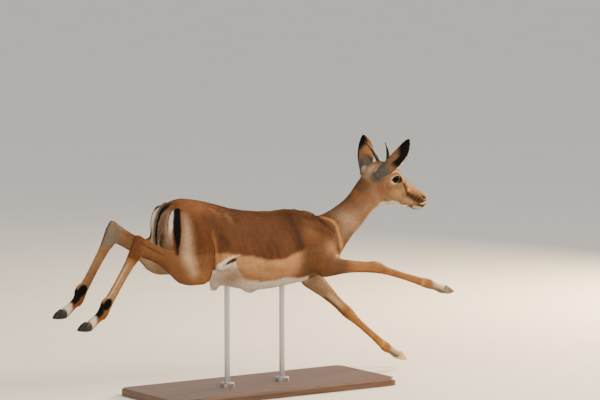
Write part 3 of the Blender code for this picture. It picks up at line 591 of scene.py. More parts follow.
def hair_ways(skin):
    """Which way the hair lies at each point of the skin: nose to tail, and down the limbs."""
    p, n, m = skin.points, skin.normals, mirrored(skin.points)
    side = np.sign(p[:, 1])
    x, z, head_z = share_of("trunk", p, 0), share_of("trunk", p, 2), share_of("head", p, 2)
    rear, thigh = 1 - ease(x, 0.05, 0.13), (1 - ease(x, 0.18, 0.3)) * (1 - ease(z, 0.8, 0.98))
    arm = ease(x, 0.62, 0.75) * (1 - ease(z, 0.45, 0.65))
    gaskin = (1 - ease(x, 0.02, 0.14)) * (1 - ease(z, 0.48, 0.6))
    way = np.tile([-1.0, 0.0, 0.0], (len(p), 1))
    way[:, 2] = -0.3 * ease(m[:, 1], 20 * MM, 60 * MM) - 1.4 * rear * ease(z, 0.55, 0.65) - 1.5 * thigh
    way += np.outer(arm, [1.15, 0, -1]) + np.outer(gaskin, [-1.5, 0, 2.2])
    way += np.outer(ease(x, 0.9, 0.99), [0.8, 0, -0.8])
    groups = np.array([group_of(name) for name in FLESH_NODES])[skin.owner]
    way[groups == "neck"] = -NECK_WAY + [0, 0, -0.15]
    face = np.stack([-np.ones(len(p)), 0.1 * side, -0.1 + 0.9 * ease(head_z, 0.35, 0.9)], 1)
    way[groups == "head"] = face[groups == "head"]
    for number, name in enumerate(FLESH_NODES):
        if name in AXES:
            way[skin.owner == number] = AXES[name].way
    way = unit(spread(unit(way), skin.links, COMB_ROUNDS))
    return unit(way - n * (way * n).sum(1, keepdims=True))


# ---------------------------------------------------------------- colours
def linear(hex_colour):
    """An sRGB hex colour as linear numbers."""
    parts = [int(hex_colour[i:i + 2], 16) / 255 for i in (0, 2, 4)]
    return np.array([v / 12.92 if v <= 0.04045 else ((v + 0.055) / 1.055) ** 2.4 for v in parts])


COLOURS = {
    # back, sides and rump, with painted highlights on the top of the back, the shoulder and the thigh's
    # front edge, and painted shade in creases, under the shoulder's ridge, in the fold pocket and on the
    # belly
    "saddle": "5f3d26", "dark saddle and painted crease shade": "392214", "rump": "9a6540", "painted highlight along the back": "a87646",
    "shoulder": "523422", "lit ridge": "cf9858", "painted shade under the ridge": "3d2616", "flank": "b3865f",
    "painted shadow in the fold pocket": "1c0f08", "low flank": "7a4a26", "belly edge": "744520", "painted shade on the belly": "967556",
    "thigh": "633d22", "stifle": "93673f", "under the thigh": "d6a86c", "between the legs": "9c8268",
    "upper arm": "68401f", "breast": "a68a6e", "painted shoulder highlight": "bb8e64", "sandy": "936539",
    "rump band": "c3a585", "buttock": "bd9c80", "beside the tail": "8a6342", "stripe foot": "a98560",
    "tail": "d8cbb9", "tail root": "5a402e", "tail side": "a98058", "tail shade": "a88c70",
    # neck and head, with painted shade in the neck hollow and along the mouth, a painted glint beside the
    # tear streak, and painted highlights on the brow and the nose wing
    "neck": "8b6b50", "nape": "4a2e1b", "painted shade in the neck hollow": "5a3a24", "neck drift": "8a5a33",
    "lit throat": "cc9858", "face": "7f654a", "jaw angle": "704628", "cheek edge": "6c4222",
    "cheek": "ad8259", "low cheek": "b98c60", "crown": "6a3c1c", "poll": "bfa07c", "bridge": "96602c",
    "brow": "e2c496", "eye ring": "cdb08a", "eyelid": "1c0f08", "tear streak": "351b0b",
    "painted glint beside the tear streak": "dba05a", "muzzle": "2c1508", "jaw": "c7c4b9", "mouth corner": "5c3014",
    "mouth": "2a150a", "chin": "d9c9b8", "lip": "b58c62", "upper lip": "dcc39c", "painted highlight on the nose wing": "b98a58",
    "bare nose": "0d0a0a", "ear": "7a583e", "ear back": "8c5f3a", "ear inside": "a08c76",
    "ear streaks": "4f3b2e", "ear rim": "ead9ba",
    # legs, with painted shade in the shank groove and behind the fore pastern, and painted highlights on the
    # shank's back edge and the fore pastern's front
    "leg": "90633b", "dark leg": "663d20", "shank": "65442a", "painted shade in the shank groove": "43240e",
    "painted highlight on the shank's back edge": "a9682e", "hock": "5f371b", "grey hock": "74695a", "inner leg": "7d5a3a",
    "cannon": "94704e", "pale cannon": "c9ae8a", "cannon front": "a9641f", "lit cannon": "cf8a3e",
    "pastern": "7d4d28", "pale pastern": "ddcbb0", "inner forearm": "c4ad8e", "lit knee": "c9965c",
    "inner cannon": "b9843f", "fetlock": "cf9c58", "fore pastern": "b8a892", "painted shade behind the pastern": "5f5347",
    "painted highlight on the pastern front": "ece4d8",
    # anywhere
    "white": "eadfcf", "grey": "4a4b4a", "black": "070504", "dark": "271509",
}


class Coat:
    """Colours being laid over one another at a set of points on one part of the animal."""

    def __init__(self, points, node, base):
        self.node = node
        self.m = mirrored(points)
        self.colour = np.tile(linear(COLOURS[base]), (len(points), 1))

    def paint(self, name, mask):
        self.colour += (linear(COLOURS[name]) - self.colour) * np.clip(mask, 0, 1)[:, None]

    def band(self, bent, half_width, soft):
        """1 within so many millimetres of a bent line, which may be a row of widths along it."""
        gap, share = near_line(self.m, bent)
        widths = np.atleast_1d(half_width) * MM
        half = np.interp(share, np.linspace(0, 1, len(widths)), widths)
        return 1 - ease(gap, half - soft * MM, half + soft * MM)

    def patch(self, place, size):
        return blob(self.m, beside(self.node, *place), size)

    def stroke(self, name, strength, bent, half_width, soft):
        self.paint(name, strength * self.band(bent, half_width, soft))

    def dab(self, name, strength, place, size):
        self.paint(name, strength * self.patch(place, size))


SADDLE_EDGE = np.array(line("trunk", (0.2, 0, 0.545), (0.284, 0, 0.533), (0.411, 0, 0.485),
                            (0.471, 0, 0.457), (0.569, 0, 0.442), (0.615, 0, 0.475), (0.663, 0, 0.506),
                            (0.738, 0, 0.527), (0.793, 0, 0.552), (0.866, 0, 0.615), (0.93, 0, 0.74)))
BELLY_EDGE = np.array(line("trunk", (0.255, 0, 0.44), (0.314, 0, 0.475), (0.344, 0, 0.448),
                           (0.368, 0, 0.352), (0.401, 0, 0.277), (0.486, 0, 0.241), (0.532, 0, 0.249),
                           (0.587, 0, 0.264), (0.674, 0, 0.246), (0.737, 0, 0.264), (0.77, 0, 0.2)))
THIGH_FRONT = np.array(line("trunk", (0.172, 0, 0.292), (0.258, 0, 0.35), (0.241, 0, 0.509),
                            (0.199, 0, 0.727)))
THIGH_CREASE = line("trunk", (0.262, 0.8, 0.74), (0.267, 0.8, 0.681), (0.29, 0.8, 0.61))
HAM_SHADE = line("trunk", (0.129, 0.85, 0.8), (0.15, 0.94, 0.62))
LOW_FLANK = line("trunk", (0.42, 0.8, 0.36), (0.56, 0.8, 0.34), (0.66, 0.8, 0.33))
UNDER_RIDGE = line("trunk", (0.7, 0.36, 0.785), (0.765, 0.42, 0.755), (0.812, 0.42, 0.73),
                   (0.845, 0.45, 0.69), (0.855, 0.52, 0.64))
SHOULDER_BLADE = line("trunk", (0.69, 0.45, 0.745), (0.745, 0.55, 0.69), (0.8, 0.6, 0.64),
                      (0.835, 0.62, 0.612))
STRIPE = line("trunk", (0.075, 0.486, 0.929), (0.064, 0.6, 0.846), (0.058, 0.658, 0.756),
              (0.05, 0.715, 0.65), (0.041, 0.79, 0.555))
STRIPE_SHIFT = 9 * MM       # the left stripe sits nearer the tail
WEDGE = line("trunk", (0.062, 0.4, 0.925), (0.046, 0.46, 0.854), (0.041, 0.49, 0.8), (0.038, 0.44, 0.711),
             (0.036, 0.45, 0.6))
WEDGE_EDGE = line("trunk", (0.066, 0.34, 0.935), (0.048, 0.35, 0.86), (0.041, 0.33, 0.8),
                  (0.04, 0.32, 0.74))
PALE_BAND = line("trunk", (0.097, 0.7, 0.88), (0.094, 0.76, 0.797), (0.088, 0.85, 0.629),
                 (0.089, 0.946, 0.504), (0.11, 0.95, 0.4))
TAIL_SIDE = line("trunk", (0.06, 0.2, 0.96), (0.04, 0.22, 0.84), (0.035, 0.2, 0.7))
TAIL_LINE = line("trunk", (0.2, 0, 1), (0.125, 0, 1), (0.075, 0, 0.985))


def across_trunk(values, axis, start, end):
    """ease between two shares of the trunk's length or height."""
    low, high = (spot("trunk", share, share, share)[axis] for share in (start, end))
    return ease(values, low, high)


def trunk_colours(p, n):
    coat = Coat(p, "trunk", "flank")
    x, z, out = p[:, 0], p[:, 2], coat.m[:, 1]
    ripple = wobble(p, 40, 3) * 2.5 * MM
    saddle = ease(z + ripple - np.interp(x, SADDLE_EDGE[:, 0], SADDLE_EDGE[:, 2]), -8 * MM, 7 * MM)
    thigh = ease(np.interp(z, THIGH_FRONT[:, 2], THIGH_FRONT[:, 0]) - x, -6 * MM, 16 * MM)
    belly = ease(np.interp(x, BELLY_EDGE[:, 0], BELLY_EDGE[:, 2]) + ripple - z, -5 * MM, 5 * MM)
    belly *= ease(x, BELLY_EDGE[0, 0] - 15 * MM, BELLY_EDGE[0, 0])
    belly *= 1 - ease(x, BELLY_EDGE[-1, 0], BELLY_EDGE[-1, 0] + 30 * MM)
    coat.paint("shoulder", 0.85 * across_trunk(x, 0, 0.62, 0.7) * (1 - ease(n[:, 0], 0.35, 0.8)))
    coat.dab("stifle", 0.85, (0.235, 0.85, 0.5), (34, 60, 40))
    coat.paint("saddle", saddle)
    coat.paint("thigh", 0.85 * thigh)
    # painted shade: dark strokes in the crease before the thigh, the hollow behind the ham and the groove at
    # the shoulder's edge
    coat.stroke("dark saddle and painted crease shade", 0.65, THIGH_CREASE, 10, 16)
    coat.stroke("dark saddle and painted crease shade", 0.45, HAM_SHADE, 6, 18)
    coat.stroke("dark saddle and painted crease shade", 0.85, SHOULDER_EDGE[:3], [8, 9, 14], 14)
    coat.paint("dark saddle and painted crease shade", 0.3 * saddle * ease(wobble(p, 90, 5), -0.2, 0.9))
    coat.paint("rump", 0.8 * saddle * coat.patch((0.19, 0.3, 0.96), (80, 60, 34)))
    # painted highlights on the shoulder
    coat.dab("sandy", 0.3, (0.735, 0.54, 0.66), (34, 50, 34))
    coat.dab("painted shoulder highlight", 0.6, (0.822, 0.746, 0.504), (26, 30, 22))
    coat.dab("upper arm", 0.75, (0.755, 0.8, 0.37), (28, 40, 30))
    coat.stroke("low flank", 0.7, LOW_FLANK, 5, 14)
    coat.dab("leg", 0.8, (0.15, 0.95, 0.31), (64, 60, 34))
    # painted highlight along the thigh's front edge
    coat.stroke("sandy", 0.6, THIGH_EDGE[1:3], 8, 10)
    coat.stroke("rump band", 0.85, PALE_BAND, [4, 9, 14, 16, 8], 24)
    coat.paint("white", belly * (1 - thigh * ease(out, 60 * MM, 75 * MM)))
    # painted shade over the white belly, next to the flank
    coat.paint("painted shade on the belly", 0.9 * belly * coat.patch((0.35, 0.6, 0.3), (62, 90, 50)))
    coat.dab("breast", 0.55, (0.935, 0.45, 0.63), (26, 40, 34))
    turned_in = ease(-n[:, 1] * np.sign(p[:, 1]), 0.05, 0.5) * (1 - across_trunk(z, 2, 0.55, 0.7))
    coat.paint("between the legs", 0.85 * turned_in * (1 - ease(x, -0.05, 0) * (1 - ease(x, 0.05, 0.12))))
    coat.stroke("white", 0.9, FLANK_FOLD, [1.5, 2.5, 2.5, 2, 1.2], 1.5)
    # painted shadow in the pocket under the flank fold
    coat.stroke("painted shadow in the fold pocket", 0.97, FOLD_POCKET, [7, 6, 2], 2.5)
    underneath = ease(-n[:, 2], 0.6, 0.95)
    coat.paint("under the thigh", 0.7 * underneath * coat.patch((0.2, 0.62, 0.22), (60, 70, 16)))
    coat.dab("dark saddle and painted crease shade", 0.45, (0.66, 0.35, 0.8), (50, 60, 34))
    # painted shade in bands under the shoulder's ridge and along the shoulder blade
    coat.stroke("painted shade under the ridge", 0.55, UNDER_RIDGE, 8, 8)
    coat.stroke("painted shade under the ridge", 0.5, SHOULDER_BLADE, 5, 9)
    # painted highlight on the top of the back, where the surface faces straight up
    coat.paint("painted highlight along the back", 0.2 * ease(n[:, 2], 0.9, 0.99) * saddle)
    coat.stroke("lit ridge", 0.7, SHOULDER_RIDGE, RIDGE_WIDTHS, 4.5)
    over_belly = list(BELLY_EDGE[3:9] + [0, 70 * MM, 14 * MM])
    coat.paint("belly edge", 0.75 * (1 - belly) * coat.band(over_belly, 4, 14))
    coat.dab("white", 0.8, (0.8, 0.55, 0.19), (20, 22, 10))
    rear = (1 - across_trunk(x, 0, 0.045, 0.085)) * across_trunk(z, 2, 0.4, 0.5)
    coat.paint("buttock", 0.9 * rear * (1 - ease(out, 58 * MM, 68 * MM)))
    coat.stroke("beside the tail", 0.85, TAIL_SIDE, 9, 6)
    stripes = Coat(p + np.outer(p[:, 1] > 0, [0, STRIPE_SHIFT, 0]), "trunk", "flank")
    coat.paint("white", stripes.band(WEDGE, [5, 9, 9, 7, 4], 2.5))
    coat.paint("stripe foot", 0.85 * stripes.band(WEDGE[3:], 10, 9))
    coat.paint("dark", 0.95 * stripes.band(WEDGE_EDGE, [5, 3, 2.5, 1.5], 1.5))
    coat.paint("black", stripes.band(STRIPE, [10, 11, 12.5, 12, 8], 1.6))
    coat.stroke("black", 0.85, TAIL_LINE, [0.5, 4, 5], 2)
    return coat.colour


THROAT = line("neck", (1, 0, 0.47), (0.8, 0, 0.32), (0.68, 0, 0.21), (0.6, 0, 0.12))


def neck_colours(p, n):
    coat = Coat(p, "neck", "neck")
    under = n @ np.array([0.6, 0, -0.8])
    coat.paint("nape", 0.85 * ease(-under, -0.25, 0.75))
    coat.dab("breast", 0.7, (0.3, 0.75, 0.28), (46, 50, 40))
    coat.stroke("lit ridge", 0.7, SHOULDER_RIDGE, RIDGE_WIDTHS, 4.5)
    coat.paint("lit throat", 0.75 * ease(under, 0.3, 0.95))
    # painted shade in the hollow of the neck
    coat.dab("painted shade in the neck hollow", 0.5, (0.32, 0.45, 0.56), (34, 34, 20))
    coat.paint("white", 0.95 * coat.band(THROAT, [30, 33, 27, 8], 5) * ease(under, -0.35, 0.1))
    coat.paint("neck drift", 0.35 * ease(wobble(p, 60, 8), 0, 1))
    return coat.colour


CHEEK_FALL = CHEEK_EDGE[1:] + line("head", (0.3, 0.95, 0.5))
LOW_CHEEK = line("head", (0.62, 0.6, 0.22), (0.74, 0.5, 0.16))
CROWN = line("head", (0.2, 0, 0.98), (0.42, 0, 0.98), (0.56, 0, 0.84))
BRIDGE_SIDE = line("head", (0.56, 0.3, 0.74), (0.64, 0.52, 0.54), (0.757, 0.42, 0.42),
                   (0.865, 0.34, 0.33), (0.95, 0.25, 0.275))
BRIDGE_TOP = line("head", (0.58, 0, 0.8), (0.75, 0, 0.55), (0.95, 0, 0.33))
MUZZLE = line("head", (0.668, 0.6, 0.3), (0.745, 0.52, 0.255), (0.822, 0.46, 0.2), (0.89, 0.42, 0.15),
              (0.925, 0.38, 0.12))
STREAK = line("head", (0.536, 0.9, 0.562), (0.574, 0.844, 0.488), (0.612, 0.75, 0.4),
              (0.655, 0.66, 0.325))
JAW_WHITE = line("head", (0.1, 0.2, 0.12), (0.293, 0.42, 0.15), (0.39, 0.62, 0.15), (0.5, 0.47, 0.115),
                 (0.58, 0.28, 0.08))
UNDER_JAW = line("head", (0.1, 0, 0.14), (0.66, 0, 0.05))
UPPER_LIP = line("head", (0.88, 0.41, 0.105), (0.93, 0.4, 0.118), (0.961, 0.38, 0.136),
                 (0.975, 0.3, 0.15), (0.985, 0, 0.145))
NOSTRIL_TOP = line("head", (0.93, 0.4, 0.292), (0.975, 0.2, 0.28))
BROW = line("head", (0.33, 0.9, 0.79), (0.433, 0.888, 0.817), (0.495, 0.846, 0.752),
            (0.541, 0.802, 0.678), (0.556, 0.84, 0.6), (0.53, 0.91, 0.55))


def head_colours(p, n):
    coat = Coat(p, "head", "face")
    coat.dab("jaw angle", 0.8, (0.2, 0.9, 0.45), (38, 40, 30))
    coat.stroke("cheek edge", 0.6, CHEEK_FALL, 5, 10)
    coat.dab("cheek", 0.7, (0.49, 0.85, 0.38), (26, 30, 16))
    coat.stroke("crown", 0.35, CROWN, [14, 16, 6], 9)
    coat.dab("poll", 0.75, (0.09, 0.45, 0.86), (24, 24, 16))
    coat.stroke("bridge", 0.85, BRIDGE_SIDE, [13, 15, 12, 10, 8], 8)
    coat.stroke("bridge", 0.85, BRIDGE_TOP, 14, 9)
    coat.dab("grey", 0.75, (0.13, 0.86, 0.7), (20, 26, 22))
    # pale brow hair, with a painted highlight along the brow ridge
    coat.stroke("brow", 0.9, BROW, [3, 4.5, 5, 4, 2.5, 1], 3)
    for side in SIDES.values():
        eye_colours(coat, p, side)
    coat.stroke("tear streak", 0.92, STREAK, [4, 4.5, 5, 7], 3)
    mottle = 0.86 + 0.12 * wobble(p, 9, 12)
    coat.stroke("muzzle", mottle, MUZZLE, [8, 10, 12, 12, 9], 6)
    # painted glint on the rise beside the tear streak
    coat.dab("painted glint beside the tear streak", 0.9, (0.662, 0.6, 0.42), (9, 12, 6))
    coat.stroke("low cheek", 0.6, LOW_CHEEK, 5, 7)
    coat.stroke("jaw", 0.95, JAW_WHITE, [13, 12, 13, 12, 6], 4)
    coat.stroke("white", 0.9 * ease(-n[:, 2], 0, 0.6), UNDER_JAW, 18, 4)
    coat.dab("mouth corner", 0.85, (0.735, 0.26, 0.062), (11, 13, 7))
    coat.stroke("chin", 1, CHIN_EDGE, 6, 3)
    coat.stroke("lip", 0.8, LIP, [1, 1.4, 1.7, 2], 1.2)
    coat.stroke("upper lip", 0.85, UPPER_LIP, [1.2, 2.4, 3, 3, 2.2], 2)
    # painted highlight on the nose wing above the nostril
    coat.stroke("painted highlight on the nose wing", 0.6, NOSTRIL_TOP, 2.5, 2)
    coat.paint("bare nose", bare_nose(coat.m))
    # painted shade along the mouth's line; the narrow bare lip edge follows
    coat.stroke("mouth", 0.9, MOUTH, [2.2, 2.8, 3, 2.8, 2.4], 1.4)
    coat.paint("bare nose", coat.band(MOUTH, 1.6, 0.8) + coat.band(NOSTRIL, 4.4, 1.1))
    return coat.colour


def eye_colours(coat, points, side):
    """The dark lids, their corners and the pale ring round them."""
    offset, forward, up, out, beyond = eye_places(points, side)
    close = (out > 0) & (np.linalg.norm(offset, axis=1) < 40 * MM)
    ring = np.exp(-((beyond - 5.5 * MM) / (3 * MM)) ** 2) * close
    coat.paint("eye ring", 0.75 * ring * (1 - ease(forward - 0.5 * up, 2 * MM, 14 * MM)))
    coat.paint("eyelid", (1 - ease(beyond, 2.2 * MM, 3.4 * MM)) * close)
    corner = np.exp(-(up / (2.6 * MM)) ** 2) * ease(np.abs(forward), 14 * MM, 17 * MM)
    coat.paint("eyelid", corner * (1 - ease(np.abs(forward), 21 * MM, 25 * MM)) * close)


NOSE_PATCH = line("head", (0.985, 0, 0.245), (0.985, 0, 0.12))


def bare_nose(m):
    """The small wet patch between and over the nostrils."""
    gap, share = near_line(m, NOSE_PATCH)
    half = np.interp(share, [0, 0.5, 1], [5.5 * MM, 5 * MM, 1.5 * MM])
    return 1 - ease(gap - half, 0, 1.5 * MM)


def ear_across(side):
    """The way across an ear, towards its outer edge."""
    way = AXES["ear_" + SIDE_NAME[side]].way
    return unit(np.array([0, side, 0]) - way * way[1] * side)


def ear_frame(points, side):
    """How far up an ear each point is, as a share, and how far across it from its middle."""
    axis = AXES["ear_" + SIDE_NAME[side]]
    return share_along(points, axis), (points - axis.middle) @ ear_across(side)


def ear_colours(p, n):
    coat = Coat(p, "head", "ear")
    for name, side in SIDES.items():
        mine = (p[:, 1] * side > 0).astype(float)
        up, across = ear_frame(p, side)
        edge = ear_edge(up, across, side)
        outwards = n @ ear_across(side)
        coat.paint("ear back", 0.8 * mine * (side > 0) * ease(up, 0.3, 0.45))
        coat.paint("grey", 0.9 * mine * (1 - ease(up + 0.1 * edge, 0.26, 0.5)))
        coat.paint("black", mine * ease(up + 0.1 * edge, 0.58, 0.76))
        coat.paint("black", mine * ease(edge - 0.25 * (up - 0.35), 0.36, 0.56) * ease(up, 0.34, 0.48))
        front = ease(n[:, 0] + 0.2 * n[:, 1] * side, 0.05, 0.4) * mine
        coat.paint("ear inside", 0.9 * front * (1 - ease(np.abs(edge), 0.8, 0.95)))
        coat.paint("ear streaks", 0.5 * front * ease(np.sin(edge * 9), 0.2, 0.9))
        rim = ease(edge, 0.95, 0.985) * (1 - ease(up, 0.8, 0.9)) * ease(up, 0.05, 0.2)
        coat.paint("ear rim", mine * rim * ease(outwards, 0.2, 0.6))
        coat.paint("sandy", 0.8 * mine * ease(-outwards, 0.65, 0.9) * ease(up, 0.3, 0.5))
    return coat.colour


EDGES = {}


def learn_ear_edges(skin):
    """Keeps how far each ear reaches to either side at each height, so that its rims can be found."""
    for side in SIDE_NAME:
        mine = skin.owner == FLESH_NODES.index("ear_" + SIDE_NAME[side])
        up, across = ear_frame(skin.points[mine], side)
        steps = np.linspace(0, 1, 15)
        reach = [(across[np.abs(up - s) < 0.05].min(), across[np.abs(up - s) < 0.05].max()) for s in steps]
        EDGES[side] = steps, np.array(reach)


def ear_edge(up, across, side):
    """How far points lie towards an ear's outer edge, from -1 to 1 at either edge."""
    steps, reach = EDGES[side]
    low, high = np.interp(up, steps, reach[:, 0]), np.interp(up, steps, reach[:, 1])
    return np.clip((across - (low + high) / 2) / np.maximum((high - low) / 2, MM), -1, 1)


TAIL_SWING = 12 * MM        # how far the tail's midline lies to the right
LEG_REACH = 45 * MM         # how far from a leg's middle its own colours go


def tail_colours(p, n):
    """Brown with a black midline and white edges."""
    coat = Coat(p, "tail", "tail")
    share = share_along(p, AXES["tail"])
    aside = np.abs(p[:, 1] + TAIL_SWING)
    coat.paint("tail root", 0.92 * (1 - ease(share, 0.62, 0.95)) * (1 - ease(aside, 12 * MM, 17 * MM)))
    coat.paint("tail side", 0.75 * ease(share, 0.45, 0.7) * ease(p[:, 1], -4 * MM, 6 * MM))
    coat.paint("tail shade", 0.5 * ease(wobble(p, 12, 31), -0.1, 0.9))
    coat.paint("saddle", 0.7 * (1 - ease(share, 0.05, 0.25)))
    dark = (1 - ease(aside, 2.8 * MM, 4.6 * MM)) * ease(-n[:, 0] + n[:, 2], -0.5, 0.1)
    coat.paint("black", dark * (1 - ease(share, 0.72, 0.92)))
    return coat.colour


LegPart = namedtuple("LegPart", "mine share ahead facing")


def leg_parts(p, n, limb):
    """For each solid of the fore or hind legs: 1 for its points, their share along it, how far they lie
    ahead of its middle and how far the surface there faces ahead."""
    found = {}
    for name, axis in AXES.items():
        if not name.startswith(limb):
            continue
        share, ahead, _ = leg_place(p, n, axis)
        offset = p - axis.middle
        off_axis = np.linalg.norm(offset - np.outer(offset @ axis.way, axis.way), axis=1)
        mine = (off_axis < LEG_REACH) * (p[:, 1] * axis.middle[1] > 0)
        mine = mine * ease(share, -0.12, 0.02) * (1 - ease(share, 0.98, 1.12))
        found[name] = LegPart(mine, share, ahead, n @ ahead_of(axis))
    return found


def hind_colours(p, n):
    coat = Coat(p, "trunk", "leg")
    inner = ease(-n[:, 1] * np.sign(p[:, 1]), 0.1, 0.6)
    coat.paint("dark leg", 0.3 * ease(wobble(p, 50, 41), -0.2, 0.9))
    parts = leg_parts(p, n, "hind")
    for name, (mine, share, ahead, facing) in parts.items():
        if "shank" in name:
            coat.paint("shank", 0.8 * mine)
            coat.paint("dark leg", 0.7 * mine * ease(facing, 0.2, 0.9))
            # painted shade in the groove under the Achilles tendon
            hollow = np.exp(-((ahead + 9 * MM) / (3.5 * MM)) ** 2) * (1 - inner) * ease(share, 0.2, 0.4)
            coat.paint("painted shade in the shank groove", 0.7 * mine * hollow)
            coat.paint("hock", 0.8 * mine * ease(share, 0.72, 0.9))
        if "cannon" in name:
            coat.paint("hock", 0.7 * mine * (1 - ease(share, 0.05, 0.22)))
            coat.paint("cannon", 0.85 * mine * ease(share, 0.1, 0.3))
            streak = np.exp(-((facing + 0.5) / 0.22) ** 2) * ease(share, 0.12, 0.35)
            coat.paint("pale cannon", 0.65 * mine * streak)
            coat.paint("cannon front", 0.7 * mine * ease(facing, 0.45, 0.9))
    coat.paint("inner leg", 0.85 * inner)
    for name, (mine, share, ahead, facing) in parts.items():
        if "shank" in name:
            coat.paint("grey hock", 0.85 * mine * inner * ease(share, 0.55, 0.8))
            # painted highlight on the shank's back edge, the Achilles tendon, which faces up
            coat.paint("painted highlight on the shank's back edge", 0.8 * mine * ease(-facing, 0.65, 0.9))
        if "cannon" in name:
            coat.paint("grey hock", 0.75 * mine * inner * (1 - ease(share, 0.05, 0.25)))
            coat.paint("lit cannon", 0.9 * mine * ease(facing, 0.55, 0.85))
        if "pastern" in name:
            coat.paint("pastern", 0.95 * mine)
            coat.paint("pale pastern", 0.95 * mine * ease(share - 0.18 * facing, 0.58, 0.76))
            black = (1 - ease(share, 0.46, 0.58)) * ease(share, -0.1, 0.02) * (1 - ease(facing, -0.3, 0))
            coat.paint("black", mine * black)
    for side_name in SIDES:
        coat.paint("black", gland_mask(p, side_name))
    return coat.colour


def gland_mask(p, side_name):
    """The dense black tufts over the glands, on both sides of the hind leg at the back of the fetlock."""
    axis = AXES["hind_cannon_" + side_name]
    offset = p - (axis.middle + axis.way * (axis.low + (axis.high - axis.low) * 0.915))
    along, ahead = offset @ axis.way, offset @ ahead_of(axis)
    oval = (along / (20 * MM)) ** 2 + ((ahead + 4.5 * MM) / (13 * MM)) ** 2
    out = np.abs(offset[:, 1])
    return (1 - ease(oval, 0.75, 1.15)) * (out < 30 * MM) * ease(out, 1 * MM, 2.5 * MM)


def fore_colours(p, n):
    coat = Coat(p, "trunk", "leg")
    inner = ease(-n[:, 1] * np.sign(p[:, 1]), 0.1, 0.6)
    coat.paint("dark leg", 0.3 * ease(wobble(p, 50, 43), -0.2, 0.9))
    for name, (mine, share, ahead, facing) in leg_parts(p, n, "fore").items():
        if "forearm" in name:
            pale = inner * np.exp(-((facing + 0.25) / 0.36) ** 2) * (1 - ease(share, 0.5, 0.85))
            coat.paint("inner forearm", 0.85 * mine * pale)
            coat.paint("dark leg", 0.5 * mine * ease(-facing, 0.5, 0.9))
            coat.paint("lit knee", 0.45 * mine * ease(facing, 0.5, 0.9) * ease(share, 0.8, 0.9))
        elif "cannon" in name:
            coat.paint("inner cannon", 0.45 * mine * inner)
            coat.paint("dark leg", 0.5 * mine * ease(-facing, 0.4, 0.9) * ease(share, 0.3, 0.8))
            coat.paint("fetlock", 0.6 * mine * np.exp(-((share - 0.94) / 0.03) ** 2))
        else:
            coat.paint("fore pastern", 0.95 * mine * ease(share + 0.1 * facing, 0.22, 0.5))
            # painted shade behind the pastern and a painted highlight on its front
            coat.paint("painted shade behind the pastern", 0.85 * mine * ease(share, 0.25, 0.45) * ease(-facing, -0.05, 0.6))
            coat.paint("painted highlight on the pastern front", 0.85 * mine * ease(share, 0.4, 0.65) * ease(facing, 0.2, 0.8))
    return coat.colour


PAINTERS = {"trunk": trunk_colours, "neck": neck_colours, "head": head_colours, "ear": ear_colours,
            "tail": tail_colours, "hind": hind_colours, "fore": fore_colours}


def coat_colours(points, normals, weights):
    """The markings at any points on the animal, blended where its parts meet."""
    colour = np.zeros((len(points), 3))
    for column, group in enumerate(GROUPS):
        mine = weights[:, column] > 0.004
        if mine.any():
            colour[mine] += PAINTERS[group](points[mine], normals[mine]) * weights[mine, column, None]
    return colour / weights.sum(1, keepdims=True)


# ---------------------------------------------------------------- materials
NOISE = {"From Min": 0.3, "From Max": 0.7}      # where nearly all of a noise's values lie


def node(tree, kind, output=None, inputs=(), **settings):
    """Adds a shader node with its settings, links those inputs that are sockets and sets the others."""
    made = tree.nodes.new(kind)
    for name, value in settings.items():
        setattr(made, name, value)
    for key, value in dict(inputs).items():
        if isinstance(value, bpy.types.NodeSocket):
            tree.links.new(value, made.inputs[key])
        else:
            made.inputs[key].default_value = value
    return made.outputs[output] if output is not None else made


def colour4(hex_colour):
    return (*linear(hex_colour), 1.0)


def new_material(name):
    """An empty material, its node tree and the place on the piece that patterns read."""
    made = bpy.data.materials.new(name)
    made.use_nodes = True
    made.node_tree.nodes.clear()
    return made, made.node_tree, node(made.node_tree, "ShaderNodeTexCoord", "Object")


def finished(made, finish):
    """The material with its finish on the surface."""
    surface = node(made.node_tree, "ShaderNodeBsdfPrincipled", "BSDF", finish)
    node(made.node_tree, "ShaderNodeOutputMaterial", None, {"Surface": surface})
    return made


def hide_and_hair(name, bump_mm, roughness):
    """Short, sleek hair over hide: matt colour that flickers from hair to hair and drifts over a hand's
    breadth, almost without shine, and a fine grain of hairs. Bare hide on the nose and lids is wetter."""
    made, tree, place = new_material(name)
    tint = node(tree, "ShaderNodeAttribute", "Color", attribute_name="coat")
    bare = node(tree, "ShaderNodeAttribute", "Fac", attribute_name="bare")
    # hairs, locks and drift: size in millimetres, detail, darkest and palest
    # a hair is a tenth of a millimetre thick, too fine to show, so the first is drawn at 1.6 mm
    for size, detail, dark, pale in ((1.6, 2.0, 0.82, 1.16), (8, 3.0, 0.87, 1.1), (60, 3.0, 0.9, 1.08)):
        flicker = node(tree, "ShaderNodeTexNoise", "Fac",
                       {"Vector": place, "Scale": 1 / (size * MM), "Detail": detail})
        flicker = node(tree, "ShaderNodeMapRange", "Result",
                       {**NOISE, "Value": flicker, "To Min": dark, "To Max": pale})
        tint = node(tree, "ShaderNodeVectorMath", "Vector", {0: tint, "Scale": flicker}, operation="SCALE")
    grain = node(tree, "ShaderNodeTexNoise", "Fac",
                 {"Vector": place, "Scale": 1 / (1.1 * MM), "Detail": 3.0})
    bump = node(tree, "ShaderNodeBump", "Normal",
                {"Height": grain, "Strength": 0.5, "Distance": bump_mm * MM})
    gloss = node(tree, "ShaderNodeMapRange", "Result", {"Value": bare, "To Min": roughness, "To Max": 0.28})
    return finished(made,
                    {"Base Color": tint, "Roughness": gloss, "Normal": bump, "Specular IOR Level": 0.1})


